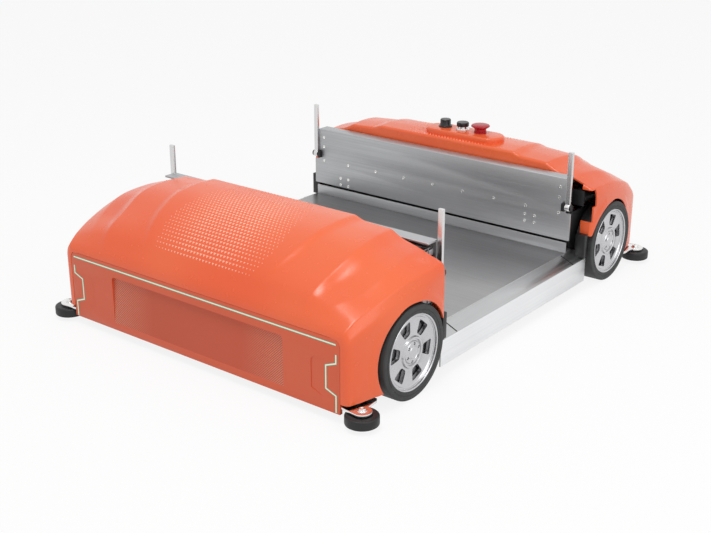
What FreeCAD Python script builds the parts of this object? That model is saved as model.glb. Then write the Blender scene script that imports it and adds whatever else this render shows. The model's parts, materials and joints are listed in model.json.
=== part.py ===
"""Tote shuttle robot: a four-wheeled shelf shuttle with two telescopic forks and four swinging fingers.

Millimetres. +X is the travel direction, +Y is to the left of it, +Z is up, and Z = 0 is the floor.
The rear module is the front module turned half a turn about Z.
"""
import FreeCAD, Part
import math
import os

Vector = FreeCAD.Vector
UP = Vector(0, 0, 1)
ALONG_X = Vector(1, 0, 0)
ALONG_Y = Vector(0, 1, 0)
SIDES = {"left": 1, "right": -1}
OUT_OF_SIGHT = 1000.0
OUTBOARD = 100.0

# Chassis
chassis_half_width = 300.0
side_sheet = 4.0
sheet = 3.0
chassis_end = 466.5
tray_bottom = 18.0
tray_lip_height = 12.0
side_frame_top = 150.0
side_frame_nose = 60.0
side_frame_slope_start = 430.0
bulkhead_face = 246.5
bulkhead_sheet = 3.0
bulkhead_top = 222.0

# Running gear
wheel_radius = 80.0
wheel_place_x = 331.8
wheel_inner_gap = 10.4
tyre_width = 38.0
wheel_outer_face = chassis_half_width + wheel_inner_gap + tyre_width
tyre_shoulder = 6.0
rim_radius = 65.0
rim_lip_depth = 6.5
rim_lip_slope = 4.0
rim_wall = 3.5
rim_disc = 7.0
rim_inset = 1.0
hub_radius = 24.0
hub_bevel = 3.0
spokes = 6
window_inner_radius = 30.0
window_outer_radius = 52.0
window_inner_width = 14.0
window_outer_width = 27.0
window_turn = 20.0
axle_radius = 10.0
running_clearance = 0.05
axle_end_gap = 0.5
hub_cap = 6.0
housing_radius = 28.0
housing_length = 8.5

# Guide rollers
roller_place_x = 460.0
roller_reach = 43.5
roller_place_y = chassis_half_width + roller_reach
roller_radius = 27.4
roller_bottom = 8.0
roller_height = 16.0
roller_pin_radius = 6.0
roller_foot = 2.0
bracket_gap = 2.0
bracket_plate = 4.0
bracket_nose = 16.0
bracket_root_front = 464.0
bracket_root_back = 424.0
bolt_head_radius = 8.0
bolt_head = 5.0

# Bed between the two modules
deck_top = 80.0
deck_sheet = 3.0
deck_half_length = 246.0
pad_rise = 0.6
deck_seat = deck_top - pad_rise
deck_overhang = 12.0
deck_flat_half = chassis_half_width + deck_overhang
lip_run = 28.0
lip_half_width = deck_flat_half + lip_run
pad_margin = 1.0
lip_drop = 13.0
lip_bottom = 20.0
wall_face = 214.6
wall_height = 20.4
wall_foot = 22.0

# Telescopic forks, from the bed outwards: finger plate, middle stage, fixed rail
moving_gap = 5.0
plate_sheet = 3.5
plate_overhang = 17.5
plate_half_length = chassis_half_width + plate_overhang
plate_top = 228.0
plate_flange = 26.9
notch_width = 11.5
notch_floor = 160.0
stage_half_length = chassis_half_width
stage_flange = 7.5
stage_web = 3.0
slide_gap = 0.4
groove_depth = 11.0
runner_height = 10.0
runner_side_gap = 2.0
fork_channel_bottom = 112.0
fork_channel_top = 216.0

# Fingers
finger_top = 281.0
finger_width = 10.0
finger_thickness = 6.0
finger_pivot_height = 172.0
finger_hub_radius = 7.0
finger_pin_radius = 4.0
finger_side_gap = 1.0
finger_axis_lead = 1.0
pin_head_radius = 6.0
pin_head = 2.5
block_length = 36.0
block_height = 24.0
block_depth = 6.0
nose_length = 6.5
nose_height = 15.0
nose_gap = 0.4

# Moulded covers
cover_back = 247.0
cover_front = 472.9
cover_wall = 3.0
cover_bottom = 34.5
cover_step_bottom = 112.0
arch_gap = 5.5
return_flange = 20.0
# Crease lines, measured inwards from the chassis side
CREASE_INSETS = (0.0, 40.0, 59.0, 116.0, 135.0)
# Columns: place along X, side wall out from the chassis side, its top, the shoulder's reach out and height,
# then the height at each crease line
COVER_SECTIONS = (
    (247.0, 46.5, 196.0, 38.5, 207.0, (220.0, 230.0, 241.0, 243.0, 250.0)),
    (295.0, 48.5, 184.0, 33.0, 207.0, (224.0, 233.0, 242.0, 246.0, 252.0)),
    (350.0, 46.0, 172.0, 29.0, 200.0, (217.0, 227.0, 236.0, 241.0, 245.0)),
    (405.0, 40.5, 162.0, 24.0, 184.0, (195.5, 204.0, 211.5, 219.0, 222.0)),
    (445.0, 33.0, 152.0, 17.0, 165.0, (177.0, 185.0, 189.5, 192.0, 193.0)),
    (465.0, 28.0, 142.0, 13.0, 153.0, (160.0, 163.0, 164.5, 165.5, 166.0)),
    (472.9, 14.0, 136.0, 4.0, 147.0, (148.0, 148.2, 148.4, 148.6, 148.8)),
)

# Stepped opening beside the fork: depth behind the cover's back edge, bottom and top
FORK_OPENING = (
    (15.0, 170.0, 203.0),
    (5.0, 140.0, 170.5),
)

# Face panel, its lights and its grille
panel_thickness = 6.4
panel_bottom = 16.0
panel_top = 140.5
panel_overhang = 12.5
panel_half_width = chassis_half_width + panel_overhang
panel_corner = 9.0
panel_seam = 0.5
recess_low_y = -200.0
recess_high_y = 196.0
recess_bottom = 36.0
recess_top = 117.0
recess_corner = 6.0
light_width = 5.0
light_depth = 2.5
top_light_height = 132.0
light_margin = 9.0
light_jog = 21.0
# Height of each corner of the side light lines, and whether it is jogged inwards there
SIDE_LIGHT = ((115.7, 0), (101.0, 0), (93.0, 1), (54.0, 1), (46.5, 0), (18.0, 0))
grille_plate = 3.0
grille_border = 4.0
grille_slat = 3.0
grille_pitch = 16.0
grille_slat_depth = 3.0

# Controls on the rear cover
pad_place_x = -288.0
pad_place_y = 25.0
pad_length = 180.0
pad_width = 60.0
pad_top = 262.0
pad_foot = 236.0
controls_pitch = 43.0
control_first_y = -26.0
control_place_x = -292.0
knob_collar_radius = 14.0
knob_collar = 3.0
knob_radius = 11.0
knob_height = 13.0
stop_neck_radius = 11.0
stop_neck = 8.0
stop_head_radius = 19.0
stop_head = 10.0
stop_bevel = 4.0

# Heavy masses and the fork drives
battery_length = 360.0
battery_width = 240.0
battery_height = 48.0
motor_length = 100.0
motor_size = 64.0
drive_radius = 15.0
drive_length = 55.0
drive_reach = 12.0
drive_place_y = chassis_half_width + drive_reach
drive_place_z = 184.5


def box(x_low, x_high, y_low, y_high, z_low, z_high):
    return Part.makeBox(x_high - x_low, y_high - y_low, z_high - z_low, Vector(x_low, y_low, z_low))


def prism(points, extrusion):
    """Extrude a closed outline of 3D points."""
    outline = Part.makePolygon(points + points[:1])
    return Part.Face(outline).extrude(extrusion)


def ring_profile(points, start, axis):
    """Revolve a closed outline of 3D points a full turn."""
    outline = Part.makePolygon(points + points[:1])
    return Part.Face(outline).revolve(start, axis, 360.0)


def turned(shape):
    """The same piece on the rear module."""
    copy = shape.copy()
    copy.rotate(Vector(0, 0, 0), UP, 180.0)
    return copy


def mirrored(shape):
    """The same piece on the other side of the centre plane."""
    return shape.mirror(Vector(0, 0, 0), ALONG_Y)


def both_sides(shape):
    return Part.makeCompound([shape, mirrored(shape)])


def tyre():
    """Left front tyre: a revolved band with a bevelled outer shoulder."""
    inner = wheel_outer_face - tyre_width
    outline = [
        Vector(rim_radius, inner, 0),
        Vector(wheel_radius, inner, 0),
        Vector(wheel_radius, wheel_outer_face - tyre_shoulder, 0),
        Vector(wheel_radius - tyre_shoulder, wheel_outer_face, 0),
        Vector(rim_radius, wheel_outer_face, 0),
    ]
    band = ring_profile(outline, Vector(0, 0, 0), ALONG_Y)
    band.translate(Vector(wheel_place_x, 0, wheel_radius))
    return band


def rim():
    """Left front rim: barrel, dished disc with cut windows, hub and closed cap."""
    inner = wheel_outer_face - tyre_width
    outer = wheel_outer_face - 0.5
    disc_face = outer - rim_lip_depth
    disc_back = disc_face - rim_disc
    barrel = rim_radius - rim_wall
    bore = axle_radius + running_clearance
    bore_end = outer - hub_cap
    outline = [
        Vector(bore, inner + rim_inset, 0),
        Vector(hub_radius, inner + rim_inset, 0),
        Vector(hub_radius, disc_back, 0),
        Vector(barrel, disc_back, 0),
        Vector(barrel, inner + rim_inset, 0),
        Vector(rim_radius, inner + rim_inset, 0),
        Vector(rim_radius, outer, 0),
        Vector(barrel, outer, 0),
        Vector(barrel - rim_lip_slope, disc_face, 0),
        Vector(hub_radius, disc_face, 0),
        Vector(hub_radius, outer - hub_bevel, 0),
        Vector(hub_radius - hub_bevel, outer, 0),
        Vector(0, outer, 0),
        Vector(0, bore_end, 0),
        Vector(bore, bore_end, 0),
    ]
    body = ring_profile(outline, Vector(0, 0, 0), ALONG_Y)
    window_outline = [
        Vector(-window_inner_width / 2, inner, window_inner_radius),
        Vector(window_inner_width / 2, inner, window_inner_radius),
        Vector(window_outer_width / 2, inner, window_outer_radius),
        Vector(-window_outer_width / 2, inner, window_outer_radius),
    ]
    window = prism(window_outline, Vector(0, tyre_width, 0))
    for number in range(spokes):
        cutter = window.copy()
        cutter.rotate(Vector(0, 0, 0), ALONG_Y, window_turn + number * 360.0 / spokes)
        body = body.cut(cutter)
    body.translate(Vector(wheel_place_x, 0, wheel_radius))
    return body


def axle():
    """Bearing housing and stub axle of the left front wheel, on the side frame's outer face."""
    seat = Vector(wheel_place_x, chassis_half_width, wheel_radius)
    housing = Part.makeCylinder(housing_radius, housing_length, seat, ALONG_Y)
    reach = wheel_outer_face - 0.5 - hub_cap - axle_end_gap - chassis_half_width
    stub = Part.makeCylinder(axle_radius, reach, seat, ALONG_Y)
    return housing.fuse(stub)


def wheel_axles():
    left = both_sides(axle())
    return Part.makeCompound([left, turned(left)])


def roller():
    """Left front guide roller: a solid band on a plain bore."""
    top = roller_bottom + roller_height
    bore = roller_pin_radius + running_clearance
    outline = [
        Vector(bore, 0, roller_bottom),
        Vector(roller_radius, 0, roller_bottom),
        Vector(roller_radius, 0, top),
        Vector(bore, 0, top),
    ]
    band = ring_profile(outline, Vector(0, 0, 0), UP)
    band.translate(Vector(roller_place_x, roller_place_y, 0))
    return band


def roller_bracket():
    """Left front bracket: a steel tongue with a round nose, its pin, pin foot and bolt head."""
    low = roller_bottom + roller_height + bracket_gap
    high = low + bracket_plate
    centre = Vector(roller_place_x, roller_place_y, low)
    nose = Part.makeCylinder(bracket_nose, bracket_plate, centre)
    tongue_outline = [
        Vector(bracket_root_back, chassis_half_width, low),
        Vector(bracket_root_front, chassis_half_width, low),
        Vector(roller_place_x + bracket_nose, roller_place_y, low),
        Vector(roller_place_x - bracket_nose, roller_place_y, low),
    ]
    tongue = prism(tongue_outline, Vector(0, 0, bracket_plate))
    pin_bottom = roller_bottom - roller_foot
    pin = Part.makeCylinder(roller_pin_radius, high - pin_bottom, Vector(centre.x, centre.y, pin_bottom))
    foot_bottom = pin_bottom - roller_foot
    foot = Part.makeCylinder(bolt_head_radius, roller_foot, Vector(centre.x, centre.y, foot_bottom))
    head = Part.makeCylinder(bolt_head_radius, bolt_head, Vector(centre.x, centre.y, high))
    return nose.fuse([tongue, pin, foot, head]).removeSplitter()


def roller_brackets():
    left = both_sides(roller_bracket())
    return Part.makeCompound([left, turned(left)])


def base_tray():
    """Folded floor pan between the side frames, with upturned ends behind the face panels."""
    inside = chassis_half_width - side_sheet
    floor = box(-chassis_end, chassis_end, -inside, inside, tray_bottom, tray_bottom + sheet)
    lip_top = tray_bottom + tray_lip_height
    front_lip = box(chassis_end - sheet, chassis_end, -inside, inside, tray_bottom, lip_top)
    return floor.fuse([front_lip, turned(front_lip)]).removeSplitter()


def side_frame():
    """Left side frame: one long plate, low beside the bed and tall beside each wheel."""
    bed_top = deck_top - deck_sheet
    tall_from = bulkhead_face + bulkhead_sheet
    half = [
        (tall_from, bed_top),
        (tall_from, side_frame_top),
        (side_frame_slope_start, side_frame_top),
        (chassis_end, side_frame_nose),
        (chassis_end, tray_bottom),
    ]
    inside = chassis_half_width - side_sheet
    front_half = [Vector(x, inside, z) for x, z in half]
    rear_half = [Vector(-x, inside, z) for x, z in reversed(half)]
    return prism(front_half + rear_half, Vector(0, side_sheet, 0))


def bulkhead():
    """Upright plate that closes the front module towards the bed and carries the fork."""
    inside = chassis_half_width - side_sheet
    floor = tray_bottom + sheet
    return box(bulkhead_face, bulkhead_face + bulkhead_sheet, -inside, inside, floor, bulkhead_top)


def deck():
    """Bed plate with a raised pad between the walls, and a sloping lip and an apron along each side."""
    under = deck_top - deck_sheet
    lip_top = deck_top - lip_drop
    inner_edge = lip_half_width - deck_sheet
    left = [
        (deck_flat_half, deck_seat),
        (lip_half_width, lip_top),
        (lip_half_width, lip_bottom),
        (inner_edge, lip_bottom),
        (inner_edge, lip_top - deck_sheet / 2),
        (deck_flat_half - pad_margin, under),
    ]
    points = [Vector(-deck_half_length, y, z) for y, z in left]
    points += [Vector(-deck_half_length, -y, z) for y, z in reversed(left)]
    plate = prism(points, Vector(2 * deck_half_length, 0, 0))
    pad_x = wall_face - pad_margin
    pad_y = deck_flat_half - pad_margin
    pad = box(-pad_x, pad_x, -pad_y, pad_y, deck_seat, deck_top)
    return plate.fuse(pad).removeSplitter()


def bed_wall():
    """Low guide wall along the front edge of the bed, with its foot on the deck."""
    top = deck_top + wall_height
    foot_top = deck_seat + sheet
    outline = [
        Vector(wall_face, -deck_flat_half, deck_seat),
        Vector(wall_face + wall_foot, -deck_flat_half, deck_seat),
        Vector(wall_face + wall_foot, -deck_flat_half, foot_top),
        Vector(wall_face + sheet, -deck_flat_half, foot_top),
        Vector(wall_face + sheet, -deck_flat_half, top),
        Vector(wall_face, -deck_flat_half, top),
    ]
    return prism(outline, Vector(0, 2 * deck_flat_half, 0))


def middle_web():
    """Inner and outer face of the middle stage's web, from the bed outwards."""
    inner = wall_face + plate_sheet + groove_depth
    return inner, inner + stage_web


def channel(web_low, web_high, edge, half_length):
    """Web with two flanges that reach from it to edge, extruded along Y."""
    web = box(web_low, web_high, -half_length, half_length, fork_channel_bottom, fork_channel_top)
    low = min(edge, web_low)
    flange = box(low, web_high, -half_length, half_length, fork_channel_bottom, fork_channel_bottom + stage_web)
    upper = flange.copy()
    upper.translate(Vector(0, 0, fork_channel_top - fork_channel_bottom - stage_web))
    return web.fuse([flange, upper]).removeSplitter()


def runners(low, high, half_length):
    """Two runner bars that slide in the next channel's corners."""
    foot = fork_channel_bottom + stage_web + runner_side_gap
    head = fork_channel_top - stage_web - runner_side_gap
    lower = box(low, high, -half_length, half_length, foot, foot + runner_height)
    upper = box(low, high, -half_length, half_length, head - runner_height, head)
    return [lower, upper]


def fork_rail():
    """Fixed channel of the front fork, bolted to the bulkhead."""
    web_inner, web_outer = middle_web()
    return channel(bulkhead_face - stage_web, bulkhead_face, web_outer + slide_gap, stage_half_length)


def fork_stage():
    """Middle stage of the front fork: a channel towards the bed and runners towards the fixed rail."""
    web_inner, web_outer = middle_web()
    profile = channel(web_inner, web_outer, web_inner - stage_flange, stage_half_length)
    bars = runners(web_outer, bulkhead_face - stage_web - slide_gap, stage_half_length)
    return profile.fuse(bars).removeSplitter()


def finger_plate():
    """Bed-side plate of the front fork: top flange, notched ends and its two runners."""
    outer = wall_face + plate_sheet
    bottom = deck_top + wall_height + moving_gap
    plate = box(wall_face, outer, -plate_half_length, plate_half_length, bottom, plate_top)
    flange_low = plate_top - plate_sheet
    flange = box(wall_face, wall_face + plate_flange, -plate_half_length, plate_half_length, flange_low, plate_top)
    web_inner, web_outer = middle_web()
    bars = runners(outer, web_inner - slide_gap, stage_half_length)
    body = plate.fuse([flange] + bars).removeSplitter()
    notch_start = plate_half_length - notch_width
    notch = box(0, OUT_OF_SIGHT, notch_start, OUT_OF_SIGHT, notch_floor, OUT_OF_SIGHT)
    seat_half = nose_height / 2 + nose_gap
    seat_start = notch_start - nose_length - nose_gap
    seat_low = finger_pivot_height - seat_half
    seat = box(0, outer, seat_start, OUT_OF_SIGHT, seat_low, seat_low + 2 * seat_half)
    for cutter in (notch, seat):
        body = body.cut(cutter).cut(mirrored(cutter))
    return body


def finger_axis():
    """Place of the left front finger's hinge axis, just on the bed side of the plate."""
    return wall_face - finger_axis_lead, finger_pivot_height


def finger_block():
    """Left front finger drive behind the plate, with its nose, hinge pin and pin head."""
    axis_x, axis_z = finger_axis()
    outer = wall_face + plate_sheet
    nose_end = plate_half_length - notch_width
    block_low = axis_z - block_height / 2
    block = box(outer, outer + block_depth, nose_end - block_length, nose_end, block_low, block_low + block_height)
    reach = finger_pin_radius + sheet / 2
    nose_low = axis_z - nose_height / 2
    nose = box(axis_x - reach, outer, nose_end - nose_length, nose_end, nose_low, nose_low + nose_height)
    finger_end = nose_end + finger_side_gap + finger_width
    pin_length = finger_end + finger_side_gap + pin_head - nose_end
    pin = Part.makeCylinder(finger_pin_radius, pin_length, Vector(axis_x, nose_end, axis_z), ALONG_Y)
    head_seat = Vector(axis_x, finger_end + finger_side_gap, axis_z)
    head = Part.makeCylinder(pin_head_radius, pin_head, head_seat, ALONG_Y)
    return block.fuse([nose, pin, head]).removeSplitter()


def finger():
    """Left front finger: a flat bar with a round hub on the hinge pin."""
    axis_x, axis_z = finger_axis()
    start = plate_half_length - notch_width + finger_side_gap
    half = finger_thickness / 2
    bar = box(axis_x - half, axis_x + half, start, start + finger_width, axis_z, finger_top)
    hub = Part.makeCylinder(finger_hub_radius, finger_width, Vector(axis_x, start, axis_z), ALONG_Y)
    bore = Part.makeCylinder(
        finger_pin_radius + running_clearance, finger_width, Vector(axis_x, start, axis_z), ALONG_Y)
    return bar.fuse(hub).removeSplitter().cut(bore)


def shoulder(start, middle, end, inset):
    """Shoulder edge of a cover section: an arc outside and a straight line inside."""
    if inset > 0:
        return Part.makeLine(Vector(*start), Vector(*end))
    return Part.Arc(Vector(*start), Vector(*middle), Vector(*end)).toShape()


def cover_section(row, inset):
    """Closed section of the cover at one place along X, moved inwards by inset.

    The outer section turns its shoulder with an arc, and the hollow has a plain slope there.
    """
    place, wall_reach, side_top, shoulder_reach, shoulder_z, heights = row
    wall_y = chassis_half_width + wall_reach - inset
    bend_y = chassis_half_width + shoulder_reach - inset
    bend_z = shoulder_z - inset
    bottom = cover_bottom - 2 * inset
    middle_y = (wall_y + bend_y) / 2 + (wall_y - bend_y) * 0.2
    middle_z = (side_top + bend_z) / 2 + (bend_z - side_top) * 0.2
    left = []
    for crease_inset, height in zip(CREASE_INSETS, heights):
        left.append(Vector(place, chassis_half_width - crease_inset, height - inset))
    right = [Vector(place, -point.y, point.z) for point in reversed(left)]
    edges = [Part.makeLine(Vector(place, wall_y, bottom), Vector(place, wall_y, side_top))]
    edges.append(shoulder((place, wall_y, side_top), (place, middle_y, middle_z), (place, bend_y, bend_z), inset))
    crown = [Vector(place, bend_y, bend_z)] + left + right + [Vector(place, -bend_y, bend_z)]
    for start, end in zip(crown, crown[1:]):
        edges.append(Part.makeLine(start, end))
    edges.append(shoulder((place, -bend_y, bend_z), (place, -middle_y, middle_z), (place, -wall_y, side_top), inset))
    edges.append(Part.makeLine(Vector(place, -wall_y, side_top), Vector(place, -wall_y, bottom)))
    edges.append(Part.makeLine(Vector(place, -wall_y, bottom), Vector(place, wall_y, bottom)))
    return Part.Wire(edges)


def cover_body(inset):
    sections = [cover_section(row, inset) for row in COVER_SECTIONS]
    return Part.makeLoft(sections, True, True)


def cover():
    """Front cover: a crowned moulded shell with wheel arches and the opening beside the fork."""
    back_inner = cover_back + cover_wall
    front_inner = cover_front - cover_wall
    far = OUT_OF_SIGHT
    hollow = cover_body(cover_wall).common(box(back_inner, front_inner, -far, far, -far, far))
    shell = cover_body(0.0).cut(hollow)
    panel_back = cover_front - panel_thickness
    shell = shell.cut(box(panel_back, far, -far, far, -far, panel_top + panel_seam))
    flange_edge = chassis_half_width + COVER_SECTIONS[0][1] - return_flange
    shell = shell.cut(box(0, back_inner, -flange_edge, flange_edge, -far, bulkhead_top))
    arch_centre = Vector(wheel_place_x, chassis_half_width, wheel_radius)
    arch = Part.makeCylinder(wheel_radius + arch_gap, OUTBOARD, arch_centre, ALONG_Y)
    outboard = chassis_half_width + OUTBOARD
    under_arch = box(0, wheel_place_x, chassis_half_width, outboard, 0, wheel_radius)
    back_step = box(0, wheel_place_x - wheel_radius, chassis_half_width, outboard, 0, cover_step_bottom)
    opening = arch.fuse([under_arch, back_step])
    shell = shell.cut([opening, mirrored(opening)])
    for depth, low, high in FORK_OPENING:
        shell = shell.cut(box(0, cover_back + depth, -outboard, -chassis_half_width, low, high))
    return shell


def control_pad():
    """Raised round-ended pad that is moulded into the rear cover."""
    radius = pad_width / 2
    straight = pad_length / 2 - radius
    height = pad_top - pad_foot
    middle = box(pad_place_x - radius, pad_place_x + radius, pad_place_y - straight, pad_place_y + straight,
                 pad_foot, pad_top)
    ends = []
    for side in SIDES.values():
        foot = Vector(pad_place_x, pad_place_y + side * straight, pad_foot)
        ends.append(Part.makeCylinder(radius, height, foot))
    return middle.fuse(ends).removeSplitter()


def rear_cover():
    """Rear cover: the same shell with the control pad on its crown."""
    pad = control_pad().cut(turned(cover_body(cover_wall)))
    return turned(cover()).fuse(pad)


def offset_path(points, distance):
    """Points of a path in the Y-Z plane, moved sideways by distance with mitred corners."""
    moved = []
    for index, point in enumerate(points):
        before = points[max(index - 1, 0)]
        after = points[min(index + 1, len(points) - 1)]
        first = unit(before, point) if index > 0 else unit(point, after)
        second = unit(point, after) if index < len(points) - 1 else first
        normal = (-(first[1] + second[1]), first[0] + second[0])
        size = math.hypot(*normal)
        normal = (normal[0] / size, normal[1] / size)
        stretch = distance / (normal[0] * -first[1] + normal[1] * first[0])
        moved.append((point[0] + normal[0] * stretch, point[1] + normal[1] * stretch))
    return moved


def unit(start, end):
    length = math.hypot(end[0] - start[0], end[1] - start[1])
    return (end[0] - start[0]) / length, (end[1] - start[1]) / length


def side_light(side):
    """Light line at one side of the front panel, as a bar that fills its groove."""
    outer = side * (panel_half_width - light_margin)
    path = [(outer - side * light_jog * jog, z) for z, jog in SIDE_LIGHT]
    half = light_width / 2
    outline = offset_path(path, half) + list(reversed(offset_path(path, -half)))
    points = [Vector(cover_front - light_depth, y, z) for y, z in outline]
    return prism(points, Vector(light_depth, 0, 0))


def top_light():
    half = light_width / 2
    reach = panel_half_width - light_margin
    return box(cover_front - light_depth, cover_front, -reach, reach, top_light_height - half, top_light_height + half)


def panel_lights():
    return Part.makeCompound([top_light(), side_light(1), side_light(-1)])


def recess(depth_low, depth_high, margin):
    """Block with the outline of the panel's recess, with one end chamfered."""
    low_y = recess_low_y - margin
    high_y = recess_high_y + margin
    bottom = recess_bottom - margin
    top = recess_top + margin
    outline = [
        Vector(depth_low, low_y, bottom),
        Vector(depth_low, high_y - recess_corner, bottom),
        Vector(depth_low, high_y, bottom + recess_corner),
        Vector(depth_low, high_y, top - recess_corner),
        Vector(depth_low, high_y - recess_corner, top),
        Vector(depth_low, low_y, top),
    ]
    return prism(outline, Vector(depth_high - depth_low, 0, 0))


def face_panel():
    """Front face panel with its recess and with grooves for the light lines."""
    back = cover_front - panel_thickness
    plate = box(back, cover_front, -panel_half_width, panel_half_width, panel_bottom, panel_top)
    top_corners = []
    for edge in plate.Edges:
        along_x = abs(edge.BoundBox.XLength - panel_thickness) < 0.01
        if along_x and edge.BoundBox.ZMin > panel_top - 1.0:
            top_corners.append(edge)
    plate = plate.makeFillet(panel_corner, top_corners)
    plate = plate.cut(recess(back - 1.0, cover_front + 1.0, 0.0))
    for light in panel_lights().Solids:
        plate = plate.cut(light)
    return plate


def grille():
    """Back plate of the recess with slanting slats."""
    seat = cover_front - panel_thickness
    plate = recess(seat - grille_plate, seat, grille_border)
    height = recess_top - recess_bottom
    slats = []
    count = int((recess_high_y - recess_low_y + height) / grille_pitch)
    for number in range(count):
        start = recess_low_y - height + number * grille_pitch
        outline = [
            Vector(seat, start, recess_bottom),
            Vector(seat, start + grille_slat, recess_bottom),
            Vector(seat, start + grille_slat + height, recess_top),
            Vector(seat, start + height, recess_top),
        ]
        slats.append(prism(outline, Vector(grille_slat_depth, 0, 0)))
    limits = recess(seat, seat + grille_slat_depth, -1.0)
    return plate.fuse([slat.common(limits) for slat in slats]).removeSplitter()


def fork_drive():
    """Right front fork drive: a round geared motor on the bulkhead's outer corner, seen in the opening."""
    start = bulkhead_face + bulkhead_sheet
    inside = chassis_half_width - side_sheet
    foot = box(bulkhead_face, start, -drive_place_y - drive_radius, -inside, drive_place_z - drive_radius,
               drive_place_z + drive_radius)
    seat = Vector(start, -drive_place_y, drive_place_z)
    motor = Part.makeCylinder(drive_radius, drive_length, seat, ALONG_X)
    return foot.fuse(motor).removeSplitter()


def control_y(number):
    return control_first_y + number * controls_pitch


def knob(number):
    """Selector or push knob on its collar."""
    seat = Vector(control_place_x, control_y(number), pad_top)
    collar = Part.makeCylinder(knob_collar_radius, knob_collar, seat)
    button = Part.makeCylinder(knob_radius, knob_collar + knob_height, seat)
    return collar.fuse(button).removeSplitter()


def emergency_stop():
    """Mushroom head on its neck."""
    seat = Vector(control_place_x, control_y(2), pad_top)
    neck = Part.makeCylinder(stop_neck_radius, stop_neck, seat)
    head_seat = Vector(seat.x, seat.y, pad_top + stop_neck)
    rim_height = stop_head - stop_bevel
    head = Part.makeCylinder(stop_head_radius, rim_height, head_seat)
    crown_seat = Vector(seat.x, seat.y, head_seat.z + rim_height)
    crown = Part.makeCone(stop_head_radius, stop_head_radius - stop_bevel, stop_bevel, crown_seat)
    return neck.fuse([head, crown]).removeSplitter()


def battery():
    """Battery pack on the tray's floor under the deck."""
    floor = tray_bottom + sheet
    return box(-battery_length / 2, battery_length / 2, -battery_width / 2, battery_width / 2,
               floor, floor + battery_height)


def drive_motors():
    """Wheel motors inside the front side frames."""
    inside = chassis_half_width - side_sheet
    half = motor_size / 2
    motor = box(wheel_place_x - half, wheel_place_x + half, inside - motor_length, inside,
                wheel_radius - half, wheel_radius + half)
    return both_sides(motor)


def build():
    """Every node of the shuttle by name."""
    nodes = {
        "base_tray": base_tray(),
        "side_frame_left": side_frame(),
        "side_frame_right": mirrored(side_frame()),
        "deck": deck(),
        "wheel_axles": wheel_axles(),
        "roller_brackets": roller_brackets(),
        "cover_front": cover(),
        "cover_rear": rear_cover(),
        "battery_pack": battery(),
        "drive_motors": drive_motors(),
        "mode_knob": knob(0),
        "start_knob": knob(1),
        "emergency_stop": emergency_stop(),
    }
    front_pieces = {
        "bulkhead": bulkhead(),
        "bed_wall": bed_wall(),
        "face_panel": face_panel(),
        "panel_lights": panel_lights(),
        "panel_grille": grille(),
        "fork_drive": fork_drive(),
        "fork_rail": fork_rail(),
        "fork_stage": fork_stage(),
        "finger_plate": finger_plate(),
        "finger_drives": both_sides(finger_block()),
    }
    for name, shape in front_pieces.items():
        nodes[name + "_front"] = shape
        nodes[name + "_rear"] = turned(shape)
    corner_pieces = {"tyre": tyre(), "rim": rim(), "guide_roller": roller(), "finger": finger()}
    for name, shape in corner_pieces.items():
        nodes[name + "_front_left"] = shape
        nodes[name + "_front_right"] = mirrored(shape)
        nodes[name + "_rear_left"] = turned(mirrored(shape))
        nodes[name + "_rear_right"] = turned(shape)
    return nodes


os.makedirs("parts", exist_ok=True)
for node, piece in build().items():
    solids = piece.Solids
    whole = solids[0] if len(solids) == 1 else Part.makeCompound(solids)
    whole.exportStep("parts/" + node + ".step")
    print(node, len(solids), round(whole.Volume / 1000.0, 1), whole.isValid())
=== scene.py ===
"""Dresses the tote shuttle robot: mouldings, running gear, forks, controls, studio and camera.

Sizes are in millimetres in the classes and become metres when a mesh is made.
+X is the travel direction, +Y is to the left of it, +Z is up, and Z = 0 is the floor.
The rear module is the front module turned half a turn about Z.
"""
from __future__ import annotations

import json
import logging
import math
from collections.abc import Callable
from dataclasses import dataclass
from enum import Enum

import bpy
from mathutils import Matrix, Vector

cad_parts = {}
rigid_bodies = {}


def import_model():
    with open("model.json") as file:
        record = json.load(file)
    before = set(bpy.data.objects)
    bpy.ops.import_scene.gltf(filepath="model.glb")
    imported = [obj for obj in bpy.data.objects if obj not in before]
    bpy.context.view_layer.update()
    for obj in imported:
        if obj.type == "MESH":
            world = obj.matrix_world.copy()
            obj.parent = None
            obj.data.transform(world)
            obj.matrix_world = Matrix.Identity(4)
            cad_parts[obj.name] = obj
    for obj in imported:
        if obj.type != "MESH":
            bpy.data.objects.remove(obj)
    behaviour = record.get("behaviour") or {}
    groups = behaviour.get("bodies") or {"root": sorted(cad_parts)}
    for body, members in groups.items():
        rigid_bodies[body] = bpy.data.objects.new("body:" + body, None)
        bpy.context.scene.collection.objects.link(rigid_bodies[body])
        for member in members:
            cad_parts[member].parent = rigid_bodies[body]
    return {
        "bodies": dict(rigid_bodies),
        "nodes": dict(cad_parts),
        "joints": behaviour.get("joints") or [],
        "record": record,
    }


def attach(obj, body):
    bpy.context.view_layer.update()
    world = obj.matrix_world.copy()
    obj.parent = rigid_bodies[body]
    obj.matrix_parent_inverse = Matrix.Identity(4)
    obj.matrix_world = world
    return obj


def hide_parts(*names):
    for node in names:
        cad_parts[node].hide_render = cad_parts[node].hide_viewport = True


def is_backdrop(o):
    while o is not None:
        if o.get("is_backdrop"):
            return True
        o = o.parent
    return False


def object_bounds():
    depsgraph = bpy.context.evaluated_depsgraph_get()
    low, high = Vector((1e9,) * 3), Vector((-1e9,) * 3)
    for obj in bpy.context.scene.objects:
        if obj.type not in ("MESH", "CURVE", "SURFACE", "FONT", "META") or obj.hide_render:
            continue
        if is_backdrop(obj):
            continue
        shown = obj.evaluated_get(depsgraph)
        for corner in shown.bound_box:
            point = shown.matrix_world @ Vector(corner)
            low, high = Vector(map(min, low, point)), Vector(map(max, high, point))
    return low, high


LOG = logging.getLogger("tote_shuttle")
MM = 0.001
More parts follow.
